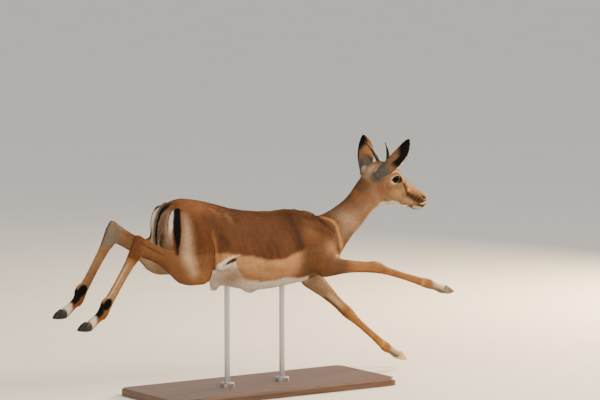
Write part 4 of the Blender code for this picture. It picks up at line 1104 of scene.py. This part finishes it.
def wet_eye():
    """A living eye behind a wet cornea: near black, with a brown iris, an oval pupil and sharp lights."""
    made, tree, place = new_material("wet_cornea_over_dark_iris")
    gaze = node(tree, "ShaderNodeAttribute", "Vector", attribute_name="gaze")
    flat = node(tree, "ShaderNodeVectorMath", "Vector", {0: gaze, 1: (1.0, 1.0, 0.0)}, operation="MULTIPLY")
    away = node(tree, "ShaderNodeVectorMath", "Value", {0: flat}, operation="LENGTH")
    squeezed = node(tree, "ShaderNodeVectorMath", "Vector", {0: flat, 1: (1.0, 2.3, 1.0)},
                    operation="MULTIPLY")
    oval = node(tree, "ShaderNodeVectorMath", "Value", {0: squeezed}, operation="LENGTH")
    fibres = node(tree, "ShaderNodeTexNoise", "Fac",
                  {"Vector": place, "Scale": 1 / (1.2 * MM), "Detail": 4.0})
    iris = node(tree, "ShaderNodeMix", "Result",
                {"Factor": fibres, "A": colour4("040202"), "B": colour4("0b0604")},
                data_type="RGBA")
    pupil = node(tree, "ShaderNodeMapRange", "Result",
                 {"Value": oval, "From Min": 0.4, "From Max": 0.46, "To Min": 1.0, "To Max": 0.0})
    rim = node(tree, "ShaderNodeMapRange", "Result", {"Value": away, "From Min": 0.62, "From Max": 0.74})
    dark = node(tree, "ShaderNodeMath", "Value", {0: pupil, 1: rim}, operation="MAXIMUM")
    colour = node(tree, "ShaderNodeMix", "Result", {"Factor": dark, "A": iris, "B": colour4("030202")},
                  data_type="RGBA")
    return finished(made,
                    {"Base Color": colour, "Roughness": 0.05, "IOR": 1.376, "Specular IOR Level": 0.11})


def keratin(name, dark, light, ring_mm, roughness):
    """Horn or hoof: layered keratin, dark with paler growth lines, satin where it is worn."""
    made, tree, place = new_material(name)
    growth = node(tree, "ShaderNodeAttribute", "Vector", attribute_name="growth")
    growth = node(tree, "ShaderNodeSeparateXYZ", None, {0: growth})
    rings = node(tree, "ShaderNodeMath", "Value", {0: growth.outputs[0], 1: 2 * math.pi / (ring_mm * MM)},
                 operation="MULTIPLY")
    rings = node(tree, "ShaderNodeMath", "Value", {0: rings}, operation="SINE")
    lines = node(tree, "ShaderNodeMapRange", "Result", {"Value": rings, "From Min": -1.0, "To Max": 0.08})
    grain = node(tree, "ShaderNodeTexNoise", "Fac",
                 {"Vector": place, "Scale": 1 / (2.5 * MM), "Detail": 5.0, "Roughness": 0.65})
    flecks = node(tree, "ShaderNodeMapRange", "Result",
                  {"Value": grain, "From Min": 0.35, "From Max": 0.7, "To Max": 0.15})
    pale = node(tree, "ShaderNodeMath", "Value", {0: lines, 1: flecks}, operation="ADD")
    pale = node(tree, "ShaderNodeMath", "Value", {0: pale, 1: growth.outputs[1]}, operation="ADD",
                use_clamp=True)
    colour = node(tree, "ShaderNodeMix", "Result",
                  {"Factor": pale, "A": colour4(dark), "B": colour4(light)},
                  data_type="RGBA")
    height = node(tree, "ShaderNodeMath", "Value", {0: lines, 1: grain}, operation="ADD")
    bump = node(tree, "ShaderNodeBump", "Normal", {"Height": height, "Strength": 0.4, "Distance": 0.3 * MM})
    gloss = node(tree, "ShaderNodeMapRange", "Result",
                 {**NOISE, "Value": grain, "To Min": roughness - 0.08, "To Max": roughness + 0.1})
    return finished(made, {"Base Color": colour, "Roughness": gloss, "Normal": bump, "IOR": 1.55,
                           "Specular IOR Level": 0.28})


def oiled_oak():
    """Dark stained oak for the base: long grain along its length, open pores and a low satin oil finish."""
    made, tree, place = new_material("stained_oiled_oak")
    long = node(tree, "ShaderNodeMapping", "Vector", {"Vector": place, "Scale": (0.07, 1.0, 1.0)})
    grain = node(tree, "ShaderNodeTexNoise", "Fac",
                 {"Vector": long, "Scale": 1 / (7 * MM), "Detail": 6.0, "Roughness": 0.6})
    streaks = node(tree, "ShaderNodeMapRange", "Result", {**NOISE, "Value": grain, "To Max": 0.6})
    wave = node(tree, "ShaderNodeTexWave", "Fac",
                {"Vector": long, "Scale": 1 / (55 * MM), "Distortion": 9.0, "Detail": 3.0,
                 "Detail Scale": 1.4}, bands_direction="Y")
    mix = node(tree, "ShaderNodeMath", "Value", {0: wave, 1: 0.4, 2: streaks}, operation="MULTIPLY_ADD")
    colour = node(tree, "ShaderNodeMix", "Result",
                  {"Factor": mix, "A": colour4("33231a"), "B": colour4("6b4a33")},
                  data_type="RGBA")
    pores = node(tree, "ShaderNodeTexNoise", "Fac",
                 {"Vector": long, "Scale": 1 / (0.9 * MM), "Detail": 2.0})
    pores = node(tree, "ShaderNodeMapRange", "Result", {"Value": pores, "From Min": 0.35, "From Max": 0.5})
    bump = node(tree, "ShaderNodeBump", "Normal", {"Height": pores, "Strength": 0.35, "Distance": 0.2 * MM})
    gloss = node(tree, "ShaderNodeMapRange", "Result",
                 {**NOISE, "Value": grain, "To Min": 0.34, "To Max": 0.5})
    return finished(made, {"Base Color": colour, "Roughness": gloss, "Normal": bump})


def brushed_steel():
    """Stainless rod stock brushed along its length: grey metal with fine upright scratches."""
    made, tree, place = new_material("brushed_stainless_steel")
    upright = node(tree, "ShaderNodeMapping", "Vector", {"Vector": place, "Scale": (1.0, 1.0, 0.03)})
    scratch = node(tree, "ShaderNodeTexNoise", "Fac",
                   {"Vector": upright, "Scale": 1 / (0.6 * MM), "Detail": 3.0})
    bump = node(tree, "ShaderNodeBump", "Normal",
                {"Height": scratch, "Strength": 0.25, "Distance": 0.05 * MM})
    colour = node(tree, "ShaderNodeMix", "Result",
                  {"Factor": scratch, "A": colour4("9a9a9c"), "B": colour4("c6c6c8")},
                  data_type="RGBA")
    gloss = node(tree, "ShaderNodeMapRange", "Result",
                 {**NOISE, "Value": scratch, "To Min": 0.26, "To Max": 0.42})
    return finished(made, {"Base Color": colour, "Metallic": 1.0, "Roughness": gloss, "Normal": bump})


def matt_floor_paint():
    """Matt floor paint, rolled on: an even pale grey with the faintest drift."""
    made, tree, place = new_material("rolled_matt_floor_paint")
    drift = node(tree, "ShaderNodeTexNoise", "Fac",
                 {"Vector": place, "Scale": 1 / (400 * MM), "Detail": 3.0})
    colour = node(tree, "ShaderNodeMix", "Result",
                  {"Factor": drift, "A": colour4("dedcd8"), "B": colour4("e6e4e0")},
                  data_type="RGBA")
    orange_peel = node(tree, "ShaderNodeTexNoise", "Fac",
                       {"Vector": place, "Scale": 1 / (3 * MM), "Detail": 2.0})
    bump = node(tree, "ShaderNodeBump", "Normal",
                {"Height": orange_peel, "Strength": 0.2, "Distance": 0.1 * MM})
    return finished(made, {"Base Color": colour, "Roughness": 0.9, "Normal": bump})


# ---------------------------------------------------------------- the skin as a piece
def bareness(points, normals, weights):
    """1 where no hair grows: the nose patch, the nostrils, the mouth's edge and the lids' edges."""
    m = mirrored(points)
    head = weights[:, GROUPS.index("head")]
    bare = bare_nose(m)
    for bent, half in ((NOSTRIL, 3.8 * MM), (MOUTH, 1.6 * MM)):
        bare = np.maximum(bare, 1 - ease(near_line(m, bent)[0], half, half + 0.8 * MM))
    for side in SIDE_NAME:
        offset, forward, up, out, beyond = eye_places(points, side)
        close = (out > -2 * MM) & (np.linalg.norm(offset, axis=1) < 32 * MM)
        bare = np.maximum(bare, (1 - ease(beyond, 1.2 * MM, 1.9 * MM)) * close)
    return bare * ease(head, 0.3, 0.6)


# the skin's colour is darkened as painted shade under the coat
SKIN_PAINTED_SHADE = 0.94


def skin_piece(skin, bare):
    """The closed skin, in place of every flesh solid, painted a little darker than the hair that stands over
    it, as shade under the coat.
    """
    mesh = new_mesh("skin", skin.points, skin.faces)
    shade_smooth(mesh)
    add_colour(mesh, "coat", coat_colours(skin.points, skin.normals, skin.weights) * SKIN_PAINTED_SHADE)
    add_colour(mesh, "bare", np.repeat(bare[:, None], 3, 1))
    obj = add_object("skin", mesh)
    mesh.materials.append(hide_and_hair("hide_with_flat_short_hair", 0.35, 0.72))
    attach(obj, "root")
    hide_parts(*FLESH_NODES)
    return obj


# ---------------------------------------------------------------- the coat's tufts
# In millimetres a tuft's length, its width at the root and the height of its tip over the skin; cover is how
# many lie over one place.
Hair = namedtuple("Hair", "length width lift cover")
HAIR = {
    "trunk": Hair(9.5, 1.15, 1.1, 1.35), "neck": Hair(8, 1, 0.9, 1.5), "head": Hair(4.2, 0.65, 0.4, 1.25),
    "ear": Hair(5, 0.6, 0.35, 1.6), "tail": Hair(14, 1.2, 2.6, 3), "hind": Hair(6, 0.9, 0.6, 1.5),
    "fore": Hair(6, 0.9, 0.6, 1.5),
}
TUFTS_IN_PIECE = 49000


def hair_sizes(skin):
    """Each skin point's hair as length, width, lift and tufts to the square metre."""
    length, width, lift, cover = (skin.weights @ np.array([HAIR[g] for g in GROUPS])).T
    length, width, lift = length * MM, width * MM, lift * MM
    m = mirrored(skin.points)
    muzzle = blob(m, beside("head", 0.93, 0.2, 0.18), 36)
    lids = blob(m, spot("eye_left", 0.55, 0.7, 0.5), 20)
    fine = 1 - 0.5 * muzzle - 0.55 * lids
    width = width * (1 - 0.35 * (muzzle + lids))
    shag = blob(m, beside("trunk", 0.478, 0, 0.16), (30, 16, 22))
    shag += blob(m, beside("trunk", 0.306, 0, 0.18), (20, 20, 26))
    chin = blob(m, beside("head", 0.87, 0.15, 0.015), (13, 12, 8))
    glands = sum(gland_mask(skin.points, side) for side in SIDES)
    length = length * fine * (1 + 1.2 * shag) * (1 + 3.2 * chin) * (1 + 0.5 * glands)
    lift = lift * fine * (1 + 2 * shag) * (1 + 18 * chin) * (1 + 1.2 * glands)
    dense = cover / (length * width / 2) * (1 + 0.5 * glands)
    return length, width, lift, dense


def unwrap_of(skin, faces):
    """Each corner's place on an unwrap of this part of the skin."""
    used, corners = np.unique(skin.faces[faces], return_inverse=True)
    obj = add_object("unwrap", new_mesh("unwrap", skin.points[used], corners.reshape(-1, 3)))
    edit(obj, (bpy.ops.uv.smart_project, {"angle_limit": math.radians(75), "island_margin": 0.002}))
    uv = numbers(obj.data.uv_layers.active.uv, "vector", len(faces) * 3, 2).reshape(-1, 3, 2).astype(float)
    bpy.data.objects.remove(obj)
    return uv


Roots = namedtuple("Roots", "face place uv")


def scattered(skin, faces, dense, bare, rng):
    """Roots spread over some of the skin's faces: each one's face, place in it and place on the unwrap."""
    corners = skin.faces[faces]
    a, b, c = (skin.points[corners[:, k]] for k in range(3))
    area = np.linalg.norm(np.cross(b - a, c - a), axis=1) / 2
    wanted = area * (dense * (1 - bare))[corners].mean(1)
    total = int(round(wanted.sum()))
    chosen = np.searchsorted(np.cumsum(wanted) / wanted.sum(), rng.random(total)).clip(0, len(faces) - 1)
    share = rng.random((total, 2))
    share = np.where(share.sum(1, keepdims=True) > 1, 1 - share, share)
    place = np.column_stack([1 - share.sum(1), share])
    uv = (unwrap_of(skin, faces)[chosen] * place[:, :, None]).sum(1)
    return Roots(faces[chosen], place, uv)


def at_roots(values, skin, roots):
    """A measure of the skin's points, at the tufts' roots."""
    corners = skin.faces[roots.face]
    rows = values[corners]
    share = roots.place.reshape(*roots.place.shape, *([1] * (rows.ndim - 2)))
    return (rows * share).sum(1)


PATCH = 0.003               # a tuft's patch on its map
ROOT_DEPTH = 0.15 * MM      # how far a tuft's root lies under the skin
KEEL_DEPTH = 0.5 * MM       # and the keel along its underside
STRAY, TWIST = 0.08, 0.15   # how far tufts swing aside and roll at random, in radians
BLADE = np.array([[1, 0, 2], [3, 1, 2], [0, 3, 2], [3, 0, 1]])      # over two root corners, tip and keel
# each blade is darker at its roots and keel as painted shade under the coat, and lighter at its tip as a
# painted highlight
BLADE_PAINTED_SHADING = np.array([0.93, 0.93, 1.05, 0.9])
BLADE_PATCH = np.array([[-0.5, -0.35], [0.5, -0.35], [0, 0.65], [0, -0.65]]) * PATCH


def turned(one, other, angle):
    """A way turned towards another by an angle."""
    return one * np.cos(angle)[:, None] + other * np.sin(angle)[:, None]


def tuft_mesh(name, root, normal, way, length, width, lift, colour, uv, rng):
    """Thin three-sided blades that rise from the skin and lie along the coat."""
    count = len(root)
    swing = rng.normal(0, STRAY, count) + 0.1 * wobble(root, 22, 51)
    way = unit(turned(way, unit(np.cross(normal, way)), swing))
    across = unit(np.cross(normal, way))
    edge = turned(across, normal, rng.normal(0, TWIST, count)) * (width / 2)[:, None]
    tip_lift = (lift * rng.uniform(0.35, 1.0, count))[:, None]
    reach = (length * rng.uniform(0.7, 1.0, count))[:, None]
    base = root - normal * ROOT_DEPTH
    tip = root + way * reach + normal * tip_lift
    keel = root + way * 0.25 * reach - normal * KEEL_DEPTH
    points = kept_inside(np.stack([base - edge, base + edge, tip, keel], 1).reshape(-1, 3))
    faces = (np.arange(count)[:, None, None] * 4 + BLADE).reshape(-1, 3)
    mesh = new_mesh(name, points, faces)
    shade_smooth(mesh)
    soft = np.stack([normal - 0.4 * across, normal + 0.4 * across, normal + 0.25 * way, normal], 1)
    mesh.normals_split_custom_set_from_vertices(unit(soft.reshape(-1, 3)))
    # each tuft's own random tone, times the blade's painted shading from root to tip
    shade = rng.normal(1, 0.09, count).clip(0.75, 1.25)[:, None, None] * BLADE_PAINTED_SHADING[:, None]
    add_colour(mesh, "coat", (colour[:, None, :] * shade).reshape(-1, 3).clip(0, 1))
    places = (uv[:, None, :] * (1 - 2 * PATCH) + PATCH + BLADE_PATCH).reshape(-1, 2)
    layer = mesh.uv_layers.new(name="OFBake", do_init=False)
    layer.uv.foreach_set("vector", places[faces.ravel()].astype(np.float32).ravel())
    return mesh


COAT_PARTS = {"trunk": "trunk", "neck": "neck", "head": "head", "ears": "ear", "tail": "tail",
              "hind_legs": "hind", "forelegs": "fore"}


def coat_pieces(skin, bare, material):
    """The coat, part by part; a large part has it in several layers so that no piece grows too big."""
    ways = hair_ways(skin)
    length, width, lift, dense = hair_sizes(skin)
    main = skin.weights.argmax(1)[skin.faces]
    main = np.where(main[:, 1] == main[:, 2], main[:, 1], main[:, 0])
    for number, (part, group) in enumerate(COAT_PARTS.items()):
        rng = np.random.default_rng(SEED + number)
        faces = np.flatnonzero(main == GROUPS.index(group))
        roots = scattered(skin, faces, dense, bare, rng)
        root, normal = at_roots(skin.points, skin, roots), unit(at_roots(skin.normals, skin, roots))
        way = unit(at_roots(ways, skin, roots))
        weights = at_roots(skin.weights, skin, roots)
        colour = coat_colours(root, normal, weights)
        sizes = [at_roots(v, skin, roots) for v in (length, width, lift)]
        layers = math.ceil(len(root) / TUFTS_IN_PIECE)
        for layer in range(layers):
            mine = slice(layer, None, layers)
            name = f"coat_{part}" + (f"_{layer + 1}" if layers > 1 else "")
            mesh = tuft_mesh(name, root[mine], normal[mine], way[mine], *(s[mine] for s in sizes),
                             colour[mine], roots.uv[mine], rng)
            mesh.materials.append(material)
            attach(add_object(name, mesh), "root")


def lashes(skin, material):
    """Dark lashes that stand out from the edge of each upper lid."""
    rng = np.random.default_rng(SEED + 20)
    picked, place = [], []
    for side in SIDES.values():
        offset, forward, up, out, beyond = eye_places(skin.points, side)
        edge = (np.abs(beyond - 1.8 * MM) < 0.8 * MM) & (up > 3 * MM) & (out > 0)
        mine = np.flatnonzero(edge & (np.linalg.norm(offset, axis=1) < 30 * MM))
        flat = np.stack([forward[mine], up[mine]], 1)
        flat = (flat - flat.min(0)) / np.ptp(flat, axis=0)
        picked.append(mine)
        place.append(flat * [1, 0.45] + [0, 0.55 * (side < 0)])
    picked, place = np.concatenate(picked), np.concatenate(place)
    root, normal = skin.points[picked], skin.normals[picked]
    count = len(root)
    way = unit(normal * 0.9 + [0.35, 0, -0.15])
    across = unit(np.cross(normal, [0.3, 0, 1]))
    way = unit(way + across * rng.normal(0, 0.12, count)[:, None])
    flat = unit(np.cross(np.cross(way, normal), way))
    mesh = tuft_mesh("lashes", root, flat, way, rng.uniform(4.5, 7.0, count) * MM, np.full(count, 0.5 * MM),
                     np.full(count, 0.8 * MM), np.tile(linear(COLOURS["black"]), (count, 1)), place, rng)
    mesh.materials.append(material)
    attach(add_object("lashes", mesh), "root")


# ---------------------------------------------------------------- eyes, horns and hooves
CORNEA_WIDTH = 0.72             # of the eyeball's radius
CORNEA_HEIGHT = 0.54 * MM
EYE_SINK = 0.2 * MM             # how much smaller the eyeball is than its solid


def eyeball(side_name, material):
    """An eyeball with a raised cornea, which looks out and a little forwards."""
    name, side = "eye_" + side_name, SIDES[side_name]
    centre = spot(name, 0.5, 0.5, 0.5)
    deselect()
    bpy.ops.mesh.primitive_uv_sphere_add(segments=64, ring_count=40, radius=EYE_RADIUS)
    ball = bpy.context.view_layer.objects.active
    ball.name = ball.data.name = "eyeball_" + side_name
    look = unit(np.array([0.34, side, 0.06]))
    level = unit(np.cross([0, 0, 1], look))
    upright = np.cross(look, level)
    points = places_of(ball.data)
    gaze = np.stack([points @ level, points @ upright, points @ look], 1) / EYE_RADIUS
    away = np.linalg.norm(gaze[:, :2], axis=1)
    cornea = (1 - ease(away, 0, CORNEA_WIDTH)) * (gaze[:, 2] > 0) * CORNEA_HEIGHT
    move_to(ball.data, points * (1 - EYE_SINK / EYE_RADIUS) + look * cornea[:, None] + centre)
    add_colour(ball.data, "gaze", gaze)
    shade_smooth(ball.data)
    ball.data.materials.append(material)
    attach(ball, "root")
    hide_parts(name)


def refined(node_name, name, levels):
    """A smooth, finer copy of a horn's or hoof's solid."""
    copy = node_copy(node_name, name)
    edit(copy, (bpy.ops.mesh.tris_convert_to_quads, {}),
         (bpy.ops.mesh.normals_make_consistent, {"inside": False}))
    apply_modifier(copy, "SUBSURF", levels=levels, render_levels=levels)
    shade_smooth(copy.data)
    copy.data.materials.clear()
    copy.data.name = name
    return copy


# which way it grows, the rings' spacing and height, where they fade out, and the levels of subdivision
Growth = namedtuple("Growth", "hint spacing height fade levels")
GROWTH = {
    "horn": Growth(UPWARD, 4.6 * MM, 0.2 * MM, (0.15, 0.55), 3),
    "hind": Growth((-1, 0, -0.3), 3.2 * MM, 0.08 * MM, (0.7, 1), 2),
    "fore": Growth((1, 0, -0.3), 3.2 * MM, 0.08 * MM, (0.7, 1), 2),
}


def grown_piece(node_name, name, growth, material, pale_from, pale_to):
    """A horn or hoof with raised growth rings, and how pale it is from root to tip."""
    piece = refined(node_name, name, growth.levels)
    mesh = piece.data
    points, normals = places_of(mesh), places_of(mesh, "normal")
    axis = axis_of(node_name, growth.hint)
    along, share = (points - axis.middle) @ axis.way, share_along(points, axis)
    rings = np.sin(along * 2 * math.pi / growth.spacing + 0.5 * wobble(points, 14, 61))
    points += normals * (rings * growth.height * (1 - ease(share, *growth.fade)))[:, None]
    move_to(mesh, points)
    pale = np.interp(share, [0, 1], [pale_from, pale_to]) + 0.08 * wobble(points, 10, 62)
    add_colour(mesh, "growth", np.stack([(points - axis.middle) @ axis.way, pale, share], 1))
    mesh.materials.append(material)
    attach(piece, "root")
    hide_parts(node_name)


def horns_and_hooves():
    horn = keratin("polished_black_horn", "070605", "1e1a17", 5.0, 0.38)
    black_hoof = keratin("worn_black_hoof", "070606", "423c35", 3.2, 0.4)
    half_lit_fore_hoof = keratin("fore_hoof_grey_with_painted_top_highlight", "14110e", "a2937b", 3.2, 0.38)
    backlit_fore_hoof = keratin("fore_hoof_pale_with_painted_backlight", "2f2822", "d8b583", 3.2, 0.38)
    # the fore hooves are one hoof painted under two lights: the left pale as if backlit, the right greyer
    # and paler at its top as a painted highlight
    hooves = {("hind", "left"): (black_hoof, 0.2, -0.15), ("hind", "right"): (black_hoof, 0.2, -0.15),
              ("fore", "left"): (backlit_fore_hoof, 0.65, 1.0), ("fore", "right"): (half_lit_fore_hoof, 0.45, 0.05)}
    for side in SIDES:
        grown_piece("horn_" + side, "spike_horn_" + side, GROWTH["horn"], horn, 0.15, -0.05)
        for place in ("hind", "fore"):
            for claw in ("outer", "inner"):
                grown_piece(f"{place}_hoof_{claw}_{side}", f"{place}_claw_{claw}_{side}", GROWTH[place],
                            *hooves[place, side])


# ---------------------------------------------------------------- stand, floor, lights and camera
def finished_stand():
    """The stand's solids keep their shape and get their finish."""
    oak, steel = oiled_oak(), brushed_steel()
    for name, material in (("stand_base", oak), ("stand_rod_front", steel), ("stand_rod_rear", steel)):
        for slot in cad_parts[name].material_slots:
            slot.material = material


def pale_floor():
    deselect()
    bpy.ops.mesh.primitive_plane_add(size=60, location=(0, 0, -0.5 * MM))
    floor = bpy.context.view_layer.objects.active
    floor.name = floor.data.name = "studio_floor"
    floor.data.materials.append(matt_floor_paint())


def area_light(name, place, target, size, power, colour):
    lamp = bpy.data.lights.new(name, "AREA")
    lamp.shape = "DISK"
    lamp.size = size
    lamp.energy = power
    lamp.color = linear(colour)
    obj = bpy.data.objects.new(name, lamp)
    SCENE.collection.objects.link(obj)
    obj.location = place
    obj.rotation_euler = (Vector(target) - Vector(place)).to_track_quat("-Z", "Y").to_euler()


AZIMUTH, ELEVATION = math.radians(-34), math.radians(6)
LENS, SENSOR, DISTANCE = 200, 36, 10.7527
BACK = np.array([math.sin(AZIMUTH) * math.cos(ELEVATION), -math.cos(AZIMUTH) * math.cos(ELEVATION),
                 math.sin(ELEVATION)])
ASIDE = np.array([math.cos(AZIMUTH), math.sin(AZIMUTH), 0])
# each softbox's metres aside, up and back from the animal, its size, power in watts and colour
SOFTBOXES = {
    "key_softbox": ((2.6, 2.2, 1.5), 1.6, 165, "ffe6c8"),
    "rim_softbox": ((2.3, 1.1, -2.4), 1.2, 330, "ffdba0"),
    "fill_softbox": ((-2.2, 1.2, 3.4), 2.8, 95, "fff3e4"),
}


def camera_on(target):
    lens = bpy.data.cameras.new("camera")
    lens.lens, lens.sensor_width = LENS, SENSOR
    lens.clip_start, lens.clip_end = 0.1, 60
    camera = bpy.data.objects.new("camera", lens)
    SCENE.collection.objects.link(camera)
    camera.location = target + BACK * DISTANCE
    camera.rotation_euler = Vector(-BACK).to_track_quat("-Z", "Y").to_euler()
    SCENE.camera = camera


def studio():
    pale_floor()
    middle = spot("trunk", 0.6, 0.5, 0.5)
    for name, (place, size, power, colour) in SOFTBOXES.items():
        aside, up, back = place
        stand = middle + ASIDE * aside + np.array(UPWARD) * up + BACK * back
        area_light(name, stand, middle, size, power, colour)
    world = bpy.data.worlds.new("pale_studio")
    world.use_nodes = True
    background = world.node_tree.nodes["Background"].inputs
    background["Color"].default_value = colour4("eceae6")
    background["Strength"].default_value = 0.9
    SCENE.world = world
    camera_on(spot("trunk", 0.7365, 0.5, 0.9126))


def write_sizes():
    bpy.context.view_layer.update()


def main():
    deselect()
    skin = shaped_skin()
    learn_ear_edges(skin)
    bare = bareness(skin.points, skin.normals, skin.weights)
    skin_piece(skin, bare)
    hair = hide_and_hair("sleek_short_hair", 0.05, 0.58)
    coat_pieces(skin, bare, hair)
    lashes(skin, hair)
    cornea = wet_eye()
    for side in SIDES:
        eyeball(side, cornea)
    horns_and_hooves()
    finished_stand()
    studio()
    write_sizes()
    deselect()


main()
